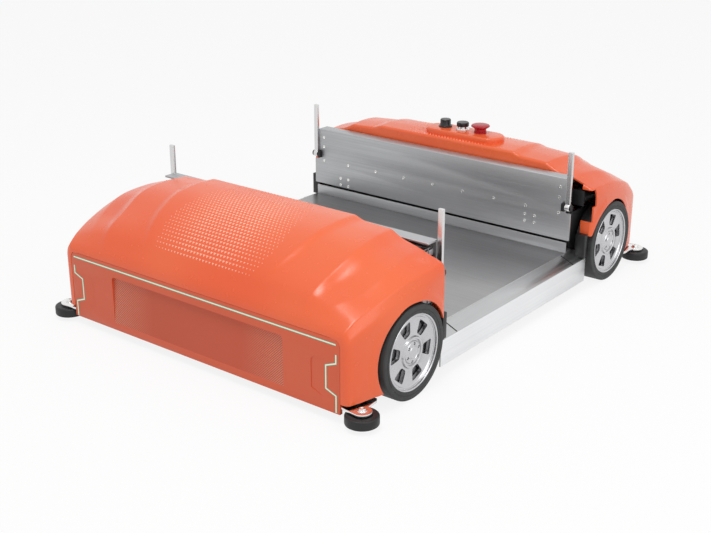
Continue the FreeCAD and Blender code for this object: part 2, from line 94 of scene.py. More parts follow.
Colour = tuple[float, float, float]
Point = tuple[float, float]
Place = tuple[float, float, float]
Piece = bpy.types.Object
Socket = bpy.types.NodeSocket


class Corner(Enum):
    """The four corners of the shuttle, each with the signs of its place along X and Y."""

    FRONT_LEFT = (1, 1)
    FRONT_RIGHT = (1, -1)
    REAR_LEFT = (-1, 1)
    REAR_RIGHT = (-1, -1)

    @property
    def label(self) -> str:
        """Name of the corner as the nodes spell it."""
        return self.name.lower()

    def placing(self) -> Matrix:
        """Matrix that takes a left front piece to this corner."""
        return Matrix.Diagonal((self.value[0], self.value[1], 1.0, 1.0))


class End(Enum):
    """The two modules, with the turn that takes a front piece there."""

    FRONT = 0.0
    REAR = math.pi

    @property
    def label(self) -> str:
        """Name of the module as the nodes spell it."""
        return self.name.lower()

    def placing(self) -> Matrix:
        """Matrix that takes a front piece to this module."""
        return Matrix.Rotation(self.value, 4, "Z")


class Grain(Enum):
    """Direction in which a sheet is brushed, as the stretch of its noise along X, Y and Z."""

    ALONG_X = (3.0, 420.0, 420.0)
    ALONG_Y = (420.0, 3.0, 420.0)
    ALONG_Z = (420.0, 420.0, 3.0)


def mm(x: float, y: float, z: float) -> Vector:
    """Point given in millimetres, in metres."""
    return Vector((x, y, z)) * MM


class NodeBoard:
    """A material's node tree, with short calls for the steps that the finishes share."""

    def __init__(self, name: str) -> None:
        """Start an empty material of a name with one surface shader."""
        self.material = bpy.data.materials.new(name)
        self.material.use_nodes = True
        self.tree = self.material.node_tree
        self.tree.nodes.clear()
        self.shader = self.add("ShaderNodeBsdfPrincipled")
        output = self.add("ShaderNodeOutputMaterial")
        self.link(self.shader.outputs["BSDF"], output.inputs["Surface"])

    def add(self, kind: str) -> bpy.types.Node:
        """New node of a kind."""
        return self.tree.nodes.new(kind)

    def link(self, start: Socket, end: Socket) -> None:
        """Join two sockets."""
        self.tree.links.new(start, end)

    def set_shader(self, **values: float) -> None:
        """Set constants on the shader's own sockets, with underscores for spaces."""
        for name, value in values.items():
            self.shader.inputs[name.replace("_", " ")].default_value = value

    def place(self, scale: Place = (1.0, 1.0, 1.0)) -> Socket:
        """Object coordinates in metres, stretched along each axis.

        Args:
            scale: factor along X, Y and Z.

        Returns:
            The vector socket.
        """
        coordinates = self.add("ShaderNodeTexCoord")
        mapping = self.add("ShaderNodeMapping")
        mapping.inputs["Scale"].default_value = scale
        self.link(coordinates.outputs["Object"], mapping.inputs["Vector"])
        return mapping.outputs["Vector"]

    def noise(self, vector: Socket, scale: float, detail: float = 2.0) -> Socket:
        """Noise from 0 to 1.

        Args:
            vector: where it is read.
            scale: number of cells in a metre.
            detail: octaves.

        Returns:
            The value socket.
        """
        node = self.add("ShaderNodeTexNoise")
        node.inputs["Scale"].default_value = scale
        node.inputs["Detail"].default_value = detail
        self.link(vector, node.inputs["Vector"])
        return node.outputs["Fac"]

    def spread(self, value: Socket, low: float, high: float, start: float = 0.3,
               end: float = 0.7) -> Socket:
        """Map a value between start and end to low and high.

        Args:
            value: input socket.
            low: result at start.
            high: result at end.
            start: input that gives low.
            end: input that gives high.

        Returns:
            The mapped value socket.
        """
        node = self.add("ShaderNodeMapRange")
        node.inputs["From Min"].default_value = start
        node.inputs["From Max"].default_value = end
        node.inputs["To Min"].default_value = low
        node.inputs["To Max"].default_value = high
        self.link(value, node.inputs["Value"])
        return node.outputs["Result"]

    def sums(self, operation: str, first: Socket,
             second: Socket | float) -> Socket:
        """One step of arithmetic.

        Args:
            operation: name of the operation.
            first: left side.
            second: right side, a socket or a number.

        Returns:
            The result socket.
        """
        node = self.add("ShaderNodeMath")
        node.operation = operation
        self.link(first, node.inputs[0])
        if isinstance(second, Socket):
            self.link(second, node.inputs[1])
        else:
            node.inputs[1].default_value = second
        return node.outputs[0]

    def paint(self, share: Socket, first: Colour | Socket,
              second: Colour) -> Socket:
        """Blend of two colours.

        Args:
            share: share of the second colour.
            first: colour at 0, or a colour socket.
            second: colour at 1.

        Returns:
            The colour socket.
        """
        node = self.add("ShaderNodeMix")
        node.data_type = "RGBA"
        self.link(share, node.inputs["Factor"])
        if isinstance(first, Socket):
            self.link(first, node.inputs[6])
        else:
            node.inputs[6].default_value = (*first, 1.0)
        node.inputs[7].default_value = (*second, 1.0)
        return node.outputs[2]

    def colour(self, socket: Socket) -> None:
        """Use a colour socket as the base colour."""
        self.link(socket, self.shader.inputs["Base Color"])

    def roughness(self, socket: Socket) -> None:
        """Use a value socket as the roughness."""
        self.link(socket, self.shader.inputs["Roughness"])

    def bump(self, height: Socket, strength: float, depth: float) -> None:
        """Raise the surface by a height.

        Args:
            height: value socket.
            strength: share of the effect.
            depth: height of a value of 1, in metres.
        """
        node = self.add("ShaderNodeBump")
        node.inputs["Strength"].default_value = strength
        node.inputs["Distance"].default_value = depth
        self.link(height, node.inputs["Height"])
        self.link(node.outputs["Normal"], self.shader.inputs["Normal"])


@dataclass(frozen=True)
class MouldedPlastic:
    """Glossy moulded plastic with a slow change of tone and a faint orange peel."""

    name: str
    colour: Colour
    shade: Colour
    rough: float = 0.33
    peel: float = 0.12
    specular: float = 0.45

    def build(self) -> bpy.types.Material:
        """Make the material."""
        board = NodeBoard(self.name)
        place = board.place()
        tone = board.spread(board.noise(place, 4.0), 0.0, 1.0)
        board.colour(board.paint(tone, self.colour, self.shade))
        board.roughness(board.spread(board.noise(place, 60.0), self.rough - 0.03, self.rough + 0.04))
        board.bump(board.noise(place, 900.0), self.peel, 0.0004)
        board.set_shader(Specular_IOR_Level=self.specular)
        return board.material


@dataclass(frozen=True)
class BrushedSheet:
    """Ground metal sheet with fine streaks along its grain."""

    name: str
    colour: Colour
    shade: Colour
    grain: Grain
    rough: float = 0.36
    streak: float = 0.25

    def build(self) -> bpy.types.Material:
        """Make the material."""
        board = NodeBoard(self.name)
        streaks = board.noise(board.place(self.grain.value), 1.0, 6.0)
        cloud = board.noise(board.place(), 7.0)
        tone = board.sums("MULTIPLY", board.sums("ADD", streaks, cloud), 0.5)
        board.colour(board.paint(board.spread(tone, 0.0, 1.0, 0.35, 0.65), self.colour, self.shade))
        board.roughness(board.spread(streaks, self.rough - 0.06, self.rough + 0.08))
        board.bump(streaks, self.streak, 0.00012)
        board.set_shader(Metallic=1.0)
        return board.material


@dataclass(frozen=True)
class CastMetal:
    """Machined or plated metal with a light mottling."""

    name: str
    colour: Colour
    shade: Colour
    rough: float = 0.22
    grit: float = 0.1
    scale: float = 250.0

    def build(self) -> bpy.types.Material:
        """Make the material."""
        board = NodeBoard(self.name)
        place = board.place()
        grains = board.noise(place, self.scale, 4.0)
        board.colour(board.paint(board.spread(grains, 0.0, 1.0), self.colour, self.shade))
        board.roughness(board.spread(board.noise(place, 40.0), self.rough - 0.05, self.rough + 0.07))
        board.bump(grains, self.grit, 0.0002)
        board.set_shader(Metallic=1.0)
        return board.material


@dataclass(frozen=True)
class MatteCoat:
    """Powder coat, rubber or matte plastic: a dark, finely grained surface."""

    name: str
    colour: Colour
    shade: Colour
    rough: float = 0.6
    grain: float = 0.25
    scale: float = 1400.0
    specular: float = 0.4

    def build(self) -> bpy.types.Material:
        """Make the material."""
        board = NodeBoard(self.name)
        place = board.place()
        cloud = board.spread(board.noise(place, 25.0, 4.0), 0.0, 1.0)
        board.colour(board.paint(cloud, self.colour, self.shade))
        board.roughness(board.spread(board.noise(place, 90.0), self.rough - 0.06, self.rough + 0.06))
        board.bump(board.noise(place, self.scale, 3.0), self.grain, 0.0003)
        board.set_shader(Specular_IOR_Level=self.specular)
        return board.material


@dataclass(frozen=True)
class HatchedPlastic:
    """Recess floor: slanting fine slots that fade from both ends towards the plain middle."""

    name: str
    colour: Colour
    shade: Colour
    line: Colour
    end_y: float
    fade: float
    pitch: float

    def build(self) -> bpy.types.Material:
        """Make the material."""
        board = NodeBoard(self.name)
        place = board.place()
        axes = board.add("ShaderNodeSeparateXYZ")
        board.link(place, axes.inputs["Vector"])
        across = axes.outputs["Y"]
        slant = board.sums("SUBTRACT", across, axes.outputs["Z"])
        wave = board.sums("SINE", board.sums("MULTIPLY", slant, 2 * math.pi / self.pitch), 0.0)
        reach = board.sums("ABSOLUTE", across, 0.0)
        ends = board.spread(reach, 0.0, 1.0, self.end_y - self.fade, self.end_y)
        lines = board.sums("MULTIPLY", board.spread(wave, 0.0, 1.0, 0.0, 0.6), ends)
        tone = board.spread(board.noise(place, 6.0), 0.0, 1.0)
        board.colour(board.paint(lines, board.paint(tone, self.colour, self.shade), self.line))
        board.bump(lines, 0.6, 0.0008)
        board.set_shader(Roughness=0.42, Specular_IOR_Level=0.4)
        return board.material


@dataclass(frozen=True)
class LightInlay:
    """Milky plastic of a light line, faintly lit."""

    name: str
    colour: Colour
    shade: Colour
    glow: float

    def build(self) -> bpy.types.Material:
        """Make the material."""
        board = NodeBoard(self.name)
        place = board.place()
        mix = board.paint(board.spread(board.noise(place, 30.0), 0.0, 1.0), self.colour, self.shade)
        board.colour(mix)
        board.link(mix, board.shader.inputs["Emission Color"])
        board.bump(board.noise(place, 800.0), 0.1, 0.0002)
        board.set_shader(Emission_Strength=self.glow, Roughness=0.35)
        return board.material


class Finishes:
    """Every finish of the shuttle, built once and handed out by name."""

    def __init__(self) -> None:
        """Build the materials."""
        recipes = [
            MouldedPlastic("cover_orange", (0.900, 0.158, 0.050), (0.86, 0.110, 0.026), 0.24, 0.015, 0.5),
            # panel_orange is the cover's orange made darker: painted shade for the front face, which the lamps
            # light less than the crown.
            MouldedPlastic("panel_orange", (0.72, 0.118, 0.045), (0.68, 0.108, 0.041), rough=0.38),
            MouldedPlastic("boss_salmon", (1.0, 0.56, 0.42), (1.0, 0.50, 0.36), rough=0.36),
            HatchedPlastic("recess_hatch", (0.60, 0.095, 0.040), (0.56, 0.088, 0.036), (0.74, 0.30, 0.20),
                           0.200, 0.095, 0.0043),
            BrushedSheet("sheet_upright", (0.50, 0.505, 0.515), (0.44, 0.445, 0.455), Grain.ALONG_Y, 0.46),
            BrushedSheet("sheet_deck", (0.40, 0.40, 0.405), (0.35, 0.35, 0.355), Grain.ALONG_Y, rough=0.34),
            BrushedSheet("sheet_lip", (0.56, 0.565, 0.57), (0.50, 0.505, 0.51), Grain.ALONG_X, rough=0.34),
            # The apron sheet is the deck's steel made far paler: a painted reflection of the white floor.
            BrushedSheet("sheet_apron", (0.86, 0.865, 0.875), (0.80, 0.805, 0.815), Grain.ALONG_X, 0.40),
            BrushedSheet("slide_steel", (0.33, 0.335, 0.34), (0.26, 0.265, 0.27), Grain.ALONG_Y, rough=0.28),
            BrushedSheet("finger_bar", (0.74, 0.74, 0.74), (0.66, 0.66, 0.66), Grain.ALONG_Z, rough=0.25),
            CastMetal("rim_alloy", (0.60, 0.60, 0.615), (0.54, 0.54, 0.555), 0.26, 0.03, 900.0),
            CastMetal("drum_grey", (0.42, 0.42, 0.43), (0.34, 0.34, 0.35), rough=0.5),
            CastMetal("zinc_plate", (0.80, 0.80, 0.78), (0.74, 0.74, 0.73), 0.14, 0.04, 900.0),
            CastMetal("bracket_steel", (0.84, 0.83, 0.82), (0.78, 0.77, 0.76), 0.11, 0.02, 900.0),
            MatteCoat("frame_coat", (0.050, 0.051, 0.054), (0.040, 0.041, 0.043), rough=0.5),
            MatteCoat("tyre_rubber", (0.045, 0.046, 0.048), (0.036, 0.037, 0.038), rough=0.62),
            MatteCoat("roller_rubber", (0.020, 0.020, 0.021), (0.014, 0.014, 0.015), rough=0.48),
            MatteCoat("drive_black", (0.018, 0.018, 0.020), (0.012, 0.012, 0.013), rough=0.4),
            MatteCoat("pack_grey", (0.10, 0.105, 0.11), (0.085, 0.088, 0.093), rough=0.55),
            MouldedPlastic("control_black", (0.012, 0.012, 0.013), (0.018, 0.018, 0.019), rough=0.3),
            MouldedPlastic("stop_red", (0.46, 0.008, 0.022), (0.40, 0.006, 0.018), rough=0.26),
            LightInlay("light_core", (0.76, 0.86, 0.62), (0.70, 0.86, 0.66), 0.14),
            LightInlay("light_edge", (0.16, 0.34, 0.27), (0.13, 0.30, 0.25), 0.03),
        ]
        self.built = {recipe.name: recipe.build() for recipe in recipes}

    def dress(self, piece: Piece, *names: str) -> None:
        """Give a piece the named finishes, in the order of its slots."""
        piece.data.materials.clear()
        for name in names:
            piece.data.materials.append(self.built[name])


class Bench:
    """Modelling steps that the pieces share."""

    @staticmethod
    def finish_edit() -> None:
        """Turn every face outwards and leave edit mode."""
        bpy.ops.mesh.select_all(action="SELECT")
        bpy.ops.mesh.normals_make_consistent(inside=False)
        bpy.ops.object.mode_set(mode="OBJECT")

    @staticmethod
    def clear() -> None:
        """Leave nothing selected."""
        if bpy.context.object and bpy.context.object.mode != "OBJECT":
            bpy.ops.object.mode_set(mode="OBJECT")
        bpy.ops.object.select_all(action="DESELECT")

    @classmethod
    def pick(cls, piece: Piece) -> None:
        """Select one object alone and make it active."""
        cls.clear()
        piece.select_set(True)
        bpy.context.view_layer.objects.active = piece

    @classmethod
    def named(cls, name: str) -> Piece:
        """Name the new active object, with its place moved into its mesh."""
        piece = bpy.context.object
        piece.name = name
        piece.data.name = name
        bpy.ops.object.transform_apply(location=True, rotation=True, scale=True)
        return piece

    @classmethod
    def path(cls, name: str, points: list[Vector]) -> Piece:
        """Closed chain of edges through points, begun from one corner of a plane.

        Args:
            name: name of the object.
            points: places in metres.

        Returns:
            The object, left in edit mode with all selected.
        """
        cls.clear()
        bpy.ops.mesh.primitive_plane_add(size=MM)
        piece = cls.named(name)
        bpy.ops.object.mode_set(mode="EDIT")
        bpy.ops.mesh.select_all(action="SELECT")
        bpy.ops.mesh.merge(type="CENTER")
        bpy.ops.transform.translate(value=points[0])
        for start, end in zip(points, points[1:]):
            bpy.ops.mesh.extrude_region_move(TRANSFORM_OT_translate={"value": end - start})
        bpy.ops.mesh.select_all(action="DESELECT")
        bpy.ops.object.mode_set(mode="OBJECT")
        piece.data.vertices[0].select = True
        piece.data.vertices[len(points) - 1].select = True
        bpy.ops.object.mode_set(mode="EDIT")
        bpy.ops.mesh.edge_face_add()
        bpy.ops.mesh.select_all(action="SELECT")
        return piece

    @classmethod
    def lathe(cls, name: str, profile: list[Vector], centre: Vector, axis: Vector,
              steps: int) -> Piece:
        """Spin a profile a full turn.

        Args:
            name: name of the object.
            profile: places in metres.
            centre: a point of the axis.
            axis: direction of the axis.
            steps: number of facets round.

        Returns:
            The finished solid.
        """
        piece = cls.path(name, profile)
        bpy.ops.mesh.spin(steps=steps, angle=2 * math.pi, center=centre, axis=axis)
        bpy.ops.mesh.select_all(action="SELECT")
        bpy.ops.mesh.remove_doubles(threshold=0.00001)
        cls.finish_edit()
        return piece

    @classmethod
    def slab(cls, name: str, outline: list[Vector], depth: Vector) -> Piece:
        """Fill an outline and extrude it.

        Args:
            name: name of the object.
            outline: places in metres.
            depth: extrusion in metres.

        Returns:
            The solid.
        """
        piece = cls.path(name, outline)
        bpy.ops.mesh.edge_face_add()
        bpy.ops.mesh.extrude_region_move(TRANSFORM_OT_translate={"value": depth})
        cls.finish_edit()
        return piece

    @classmethod
    def apply(cls, piece: Piece) -> None:
        """Apply every modifier of a piece in order."""
        cls.pick(piece)
        for modifier in list(piece.modifiers):
            bpy.ops.object.modifier_apply(modifier=modifier.name)

    @classmethod
    def cut(cls, piece: Piece, *cutters: Piece) -> None:
        """Take cutters out of a piece and delete them.

        Args:
            piece: object that is cut.
            cutters: closed solids.
        """
        for cutter in cutters:
            modifier = piece.modifiers.new("cut", "BOOLEAN")
            modifier.operation = "DIFFERENCE"
            modifier.solver = "EXACT"
            modifier.object = cutter
        cls.apply(piece)
        for cutter in cutters:
            bpy.data.objects.remove(cutter)

    @classmethod
    def ease(cls, piece: Piece, width: float, segments: int = 2, angle: float = 30.0) -> None:
        """Bevel the edges that turn by more than an angle.

        Args:
            piece: object to bevel.
            width: width in millimetres.
            segments: facets of each bevel.
            angle: least turn in degrees.
        """
        modifier = piece.modifiers.new("ease", "BEVEL")
        modifier.width = width * MM
        modifier.segments = segments
        modifier.limit_method = "ANGLE"
        modifier.angle_limit = math.radians(angle)
        modifier.harden_normals = False
        cls.apply(piece)

    @classmethod
    def smooth(cls, piece: Piece, angle: float = 30.0) -> None:
        """Shade smooth, apart from edges sharper than an angle in degrees."""
        cls.pick(piece)
        bpy.ops.object.shade_smooth_by_angle(angle=math.radians(angle))

    @classmethod
    def copy(cls, piece: Piece, name: str, placing: Matrix) -> Piece:
        """Copy a piece with its own mesh, placed by a matrix in the mesh.

        Args:
            piece: object to copy.
            name: name of the copy.
            placing: matrix, which may mirror.

        Returns:
            The copy.
        """
        mesh = piece.data.copy()
        mesh.transform(placing)
        if placing.determinant() < 0:
            mesh.flip_normals()
        copy = bpy.data.objects.new(name, mesh)
        mesh.name = name
        bpy.context.scene.collection.objects.link(copy)
        return copy

    @classmethod
    def join(cls, name: str, pieces: list[Piece]) -> Piece:
        """Join pieces into one object.

        Args:
            name: name of the joined object.
            pieces: objects, which go away.

        Returns:
            The joined object.
        """
        cls.clear()
        for piece in pieces:
            piece.select_set(True)
        bpy.context.view_layer.objects.active = pieces[0]
        if len(pieces) > 1:
            bpy.ops.object.join()
        pieces[0].name = name
        pieces[0].data.name = name
        return pieces[0]


class Shuttle:
    """The loaded solids, with the calls that seat a new piece among them."""

    def __init__(self) -> None:
        """Load the solids and build the finishes."""
        self.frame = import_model()
        self.start_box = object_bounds()
        self.finishes = Finishes()

    def seat(self, piece: Piece, body: str, slot: str, *nodes: str) -> Piece:
        """Let a piece ride on a body, and report it.

        Args:
            piece: finished object.
            body: name of the body.
            slot: material slot of the record; not used.
            nodes: nodes that the piece stands for.

        Returns:
            The piece.
        """
        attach(piece, body)
        if nodes:
            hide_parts(*nodes)
        LOG.info("%s rides on %s, %d faces", piece.name, body, len(piece.data.polygons))
        return piece

    def dress_corners(self, piece: Piece, finish: str, name: str, body: str, slot: str,
                      *nodes: str) -> None:
        """Dress a left front piece, seat a copy of it at each corner, and delete it.

        Args:
            piece: left front piece.
            finish: name of its finish.
            name: start of the copies' names, which end with the corner's.
            body: name of the body, where @ stands for the corner's name.
            slot: material slot of the record.
            nodes: nodes that each copy stands for, where @ stands for the corner's name.
        """
        self.finishes.dress(piece, finish)
        for corner in Corner:
            label = corner.label
            self.seat(Bench.copy(piece, name + label, corner.placing()), body.replace("@", label), slot,
                      *(node.replace("@", label) for node in nodes))
        bpy.data.objects.remove(piece)

    def refine(self, node: str, body: str, slot: str, finish: str, width: float = 0.6,
               segments: int = 2) -> Piece:
        """Stand a bevelled copy of a solid in its place.

        Args:
            node: name of the node.
            body: name of its body.
            slot: material slot of the record.
            finish: name of the finish.
            width: bevel in millimetres.
            segments: facets of each bevel.

        Returns:
            The bevelled copy.
        """
        copy = Bench.copy(self.frame["nodes"][node], node + "_eased", Matrix.Identity(4))
        Bench.pick(copy)
        bpy.ops.object.mode_set(mode="EDIT")
        bpy.ops.mesh.select_all(action="SELECT")
        bpy.ops.mesh.remove_doubles(threshold=0.000005)
        bpy.ops.mesh.dissolve_limited(angle_limit=math.radians(0.5))
        bpy.ops.object.mode_set(mode="OBJECT")
        Bench.ease(copy, width, segments)
        Bench.smooth(copy, 35.0)
        self.finishes.dress(copy, finish)
        return self.seat(copy, body, slot, node)


@dataclass(frozen=True)
class CoverStation:
    """Cross-section of the cover at one place along X, from the wall over its folds to the crown."""

    place: float
    wall: float
    side_top: float
    ridge: Point
    third_fold: Point
    second_foot: Point
    second_fold: Point
    first_foot: Point
    first_fold: Point

    def numbers(self) -> list[float]:
        """The section's measures as one list."""
        folds = (self.ridge, self.third_fold, self.second_foot, self.second_fold, self.first_foot,
                 self.first_fold)
        return [self.wall, self.side_top, *(number for fold in folds for number in fold)]


@dataclass
class Cover:
    """Moulded cover of a module: a crowned shell with sharp folds, flared arches and a front rim."""

    stations: tuple[CoverStation, ...] = (
        CoverStation(247.0, 346.5, 196.0, (342.0, 206.5), (300.0, 220.5), (262.0, 229.5), (240.0, 241.0),
                     (182.0, 243.5), (165.0, 250.0)),
        CoverStation(295.0, 348.5, 184.0, (341.5, 203.5), (304.0, 222.5), (264.0, 231.0), (244.0, 242.5),
                     (180.0, 246.5), (165.0, 252.0)),
        CoverStation(350.0, 346.0, 172.0, (337.5, 197.0), (312.0, 213.5), (267.0, 225.0), (247.0, 235.5),
                     (175.0, 240.8), (163.0, 245.0)),
        CoverStation(405.0, 340.5, 161.0, (330.0, 182.5), (301.0, 193.0), (257.0, 200.5), (240.0, 211.5),
                     (165.0, 217.6), (152.0, 222.0)),
        CoverStation(445.0, 333.0, 151.0, (321.5, 168.0), (279.0, 180.0), (247.0, 185.5), (235.0, 190.2),
                     (144.0, 192.6), (138.0, 193.6)),
        CoverStation(465.0, 327.6, 143.0, (317.0, 155.8), (262.0, 162.0), (239.0, 163.8), (230.0, 164.9),
                     (136.0, 166.1), (132.0, 166.3)),
        CoverStation(470.6, 324.2, 139.0, (315.0, 150.2), (253.0, 153.8), (233.0, 154.6), (226.0, 155.0),
                     (132.0, 155.7), (129.0, 155.8)),
        CoverStation(472.9, 319.0, 136.5, (310.0, 145.6), (249.0, 147.2), (229.0, 147.5), (224.0, 147.6),
                     (129.0, 147.8), (127.0, 147.9)),
    )
    fold_rounds: tuple[float, ...] = (2.2, 3.0, 10.0, 3.0, 7.0, 3.5)
    side_round: float = 12.0
    wall_steps: int = 34
    flare: float = 1.8
    flare_width: float = 16.0
    flare_slope: float = 0.45
    flare_start: float = 2.0
    flare_growth: float = 10.0
    bottom: float = 34.5
    back: float = 247.0
    front: float = 472.9
    back_roll: float = 5.0
    seam: Place = (311.6, 141.0, 13.0)
    seam_depth: float = 5.0
    wall: float = 3.0
    rows: int = 52
    nose_rows: int = 12
    nose: float = 452.0
    wheel_x: float = 331.8
    wheel_z: float = 80.0
    arch_radius: float = 85.5
    chassis_side: float = 300.0
    openings: tuple[tuple[Point, Point, Point], ...] = (
        ((200.0, 252.0), (-323.0, 323.0), (0.0, 222.0)),
        ((200.0, 262.0), (-400.0, -300.0), (170.0, 203.0)),
        ((200.0, 252.0), (-400.0, -300.0), (140.0, 171.0)),
    )

    def measures(self, place: float) -> list[float]:
        """Section measures at a place, on a smooth curve through the stations.

        Args:
            place: place along X.

        Returns:
            Wall, side top, and the place and height of each fold from the ridge to the crown.
        """
        rows = self.stations
        index = 0
        while index < len(rows) - 2 and place > rows[index + 1].place:
            index += 1
        low, high = rows[index], rows[index + 1]
        span = high.place - low.place
        share = min(max((place - low.place) / span, 0.0), 1.0)
        before = rows[max(index - 1, 0)]
        after = rows[min(index + 2, len(rows) - 1)]
        result = []
        for first, start, end, last in zip(before.numbers(), low.numbers(), high.numbers(), after.numbers()):
            start_slope = (end - first) / (high.place - before.place) * span
            end_slope = (last - start) / (after.place - low.place) * span
            square, cube = share ** 2, share ** 3
            result.append(
                (2 * cube - 3 * square + 1) * start + (cube - 2 * square + share) * start_slope
                + (3 * square - 2 * cube) * end + (cube - square) * end_slope
            )
        return result

    def half_section(self, place: float, inset: float) -> list[Point]:
        """Left half of a section from the bottom of the wall to the crown's middle.

        Args:
            place: place along X.
            inset: distance that the section is moved inwards.

        Returns:
            Points across, as Y and Z.
        """
        wall, side_top, *numbers = self.measures(place)
        folds = [(numbers[index] - inset, numbers[index + 1] - inset) for index in range(0, len(numbers), 2)]
        foot = (wall - inset, self.bottom)
        side = (wall - inset, side_top)
        chain = [foot, side, *folds, (0.0, folds[-1][1])]
        rounds = (self.side_round, *self.fold_rounds)
        points = []
        last = foot
        for index, reach in enumerate(rounds, 1):
            before, corner, after = chain[index - 1:index + 2]
            start = blend_points(corner, before, min(reach / math.dist(corner, before), 0.45))
            end = blend_points(corner, after, min(reach / math.dist(corner, after), 0.45))
            steps = self.wall_steps if index == 1 else 3
            points += [blend_points(last, start, step / steps) for step in range(steps)]
            points += bezier(start, corner, end, 5)[:-1]
            last = end
        points += [blend_points(last, chain[-1], step / 6) for step in range(7)]
        return [(y + self.flare_at(place, z) if index <= self.wall_steps else y, z)
                for index, (y, z) in enumerate(points)]

    def flare_at(self, place: float, height: float) -> float:
        """How far the wall swells out around the wheel arch at a place."""
        reach = math.dist((place, height), (self.wheel_x, self.wheel_z)) - self.arch_radius
        share = min(max((self.flare_width - reach) / (self.flare_width * self.flare_slope), 0.0), 1.0)
        behind = min(max((place - self.back - self.flare_start) / self.flare_growth, 0.0), 1.0)
        return self.flare * share * share * (3.0 - 2.0 * share) * behind

    def section(self, place: float, inset: float) -> list[Vector]:
        """Whole section from the left wall's bottom to the right one's, in metres."""
        half = self.half_section(place, inset)
        left = [mm(place, y, z) for y, z in half]
        right = [mm(place, -y, z) for y, z in reversed(half[:-1])]
        return left + right

    def row_places(self) -> list[Point]:
        """Place along X and inset of every row of the shell, from the back to the front edge."""
        places = []
        for step in range(6):
            turn = math.pi / 2 * step / 5
            ahead, inset = self.back_roll * (1 - math.cos(turn)), self.back_roll * (1 - math.sin(turn))
            places.append((self.back + ahead, inset))
        start = self.back + self.back_roll
        places += [(start + (self.nose - start) * step / self.rows, 0.0) for step in range(1, self.rows + 1)]
        for step in range(1, self.nose_rows + 1):
            share = math.sin(math.pi / 2 * step / self.nose_rows)
            places.append((self.nose + (self.front - self.nose) * share, 0.0))
        return places

    def seam_ring(self, place: float) -> list[Vector]:
        """Inner edge of the cover's front rim, which follows the face panel's rounded outline.

        Args:
            place: place along X.

        Returns:
            One point for each point of a section.
        """
        half, top, radius = self.seam
        centre_y, centre_z = half - radius, top - radius
        ring = []
        for point in self.section(self.front, 0.0):
            across, height = point.y / MM, point.z / MM
            side = math.copysign(1.0, across)
            reach = abs(across)
            if height < centre_z:
                ring.append(mm(place, side * half, height))
            elif reach < centre_y:
                ring.append(mm(place, across, top))
            else:
                arm = Vector((reach - centre_y, height - centre_z)).normalized() * radius
                ring.append(mm(place, side * (centre_y + arm.x), centre_z + arm.y))
        return ring

    def height(self, place: float, across: float) -> float:
        """Height of the crown at a place, in millimetres."""
        half = self.half_section(place, 0.0)
        reach = abs(across)
        for (outer_y, outer_z), (inner_y, inner_z) in zip(half[self.wall_steps:], half[self.wall_steps + 1:]):
            if inner_y <= reach <= outer_y:
                share = (outer_y - reach) / max(outer_y - inner_y, 0.001)
                return outer_z + (inner_z - outer_z) * share
        return half[-1][1]

    def shell(self) -> Piece:
        """Outer skin with its back wall, thickened inwards."""
        places = self.row_places()
        sections = [self.section(place, inset) for place, inset in places]
        sections += [self.seam_ring(self.front), self.seam_ring(self.front - self.seam_depth)]
        across = len(sections[0]) - 1
        along = len(sections) - 1
        Bench.clear()
        bpy.ops.mesh.primitive_grid_add(x_subdivisions=along, y_subdivisions=across, size=1.0)
        piece = Bench.named("cover_front_shell")
        for vertex in piece.data.vertices:
            row = round((vertex.co.x + 0.5) * along)
            column = round((vertex.co.y + 0.5) * across)
            vertex.co = sections[row][column]
        rim = [vertex.index for vertex in piece.data.vertices if vertex.co.x < (self.back + 0.01) * MM]
        bpy.ops.object.mode_set(mode="EDIT")
        bpy.ops.mesh.select_all(action="DESELECT")
        bpy.ops.object.mode_set(mode="OBJECT")
        for index in rim:
            piece.data.vertices[index].select = True
        bpy.ops.object.mode_set(mode="EDIT")
        bpy.ops.mesh.edge_face_add()
        Bench.finish_edit()
        thick = piece.modifiers.new("wall", "SOLIDIFY")
        thick.thickness = self.wall * MM
        thick.offset = -1.0
        Bench.apply(piece)
        return piece

    def arch_cutter(self, side: int) -> Piece:
        """Solid that clears a wheel and the low back corner of the wall.

        Args:
            side: 1 for left, -1 for right.

        Returns:
            The cutter.
        """
        outline = []
        low = math.asin((self.wheel_z - self.bottom + 1.5) / self.arch_radius)
        for step in range(57):
            turn = -low + (math.pi + low) * step / 56
            outline.append((self.wheel_x + self.arch_radius * math.cos(turn),
                            self.wheel_z + self.arch_radius * math.sin(turn)))
        outline = [point for point in outline if point[0] > self.wheel_x - 79.5]
        last_z = outline[-1][1]
        outline += [(self.wheel_x - 80.0, last_z), (self.wheel_x - 80.0, 112.0), (200.0, 112.0), (200.0, 0.0),
                    (outline[0][0], 0.0)]
        start = side * self.chassis_side
        return Bench.slab("arch_cutter", [mm(x, start, z) for x, z in outline], mm(0, side * 80.0, 0))

    def opening(self, along: Point, across: Point, upright: Point) -> Piece:
        """Box-shaped cutter between two limits along each axis."""
        corners = [(along[0], across[0]), (along[1], across[0]), (along[1], across[1]), (along[0], across[1])]
        return Bench.slab("opening_cutter", [mm(x, y, upright[0]) for x, y in corners],
                          mm(0, 0, upright[1] - upright[0]))

    def build(self) -> Piece:
        """Front cover, cut and shaded."""
        piece = self.shell()
        cutters = [self.arch_cutter(1), self.arch_cutter(-1)]
        cutters += [self.opening(*limits) for limits in self.openings]
        Bench.cut(piece, *cutters)
        Bench.smooth(piece)
        return piece


def round_shoulder(edge: float, top: float, radius: float, side: int, steps: int) -> list[Point]:
    """Quarter circle at an upper corner of a shape that is drawn from its right side to its left one.

    Args:
        edge: outer limit along Y.
        top: upper limit.
        radius: radius of the corner.
        side: 1 for left, -1 for right.
        steps: number of spans.

    Returns:
        Points as Y and Z.
    """
    turns = [math.pi / 2 * step / steps for step in range(steps + 1)][::side]
    return [(edge - side * radius * (1 - math.cos(turn)), top - radius * (1 - math.sin(turn)))
            for turn in turns]


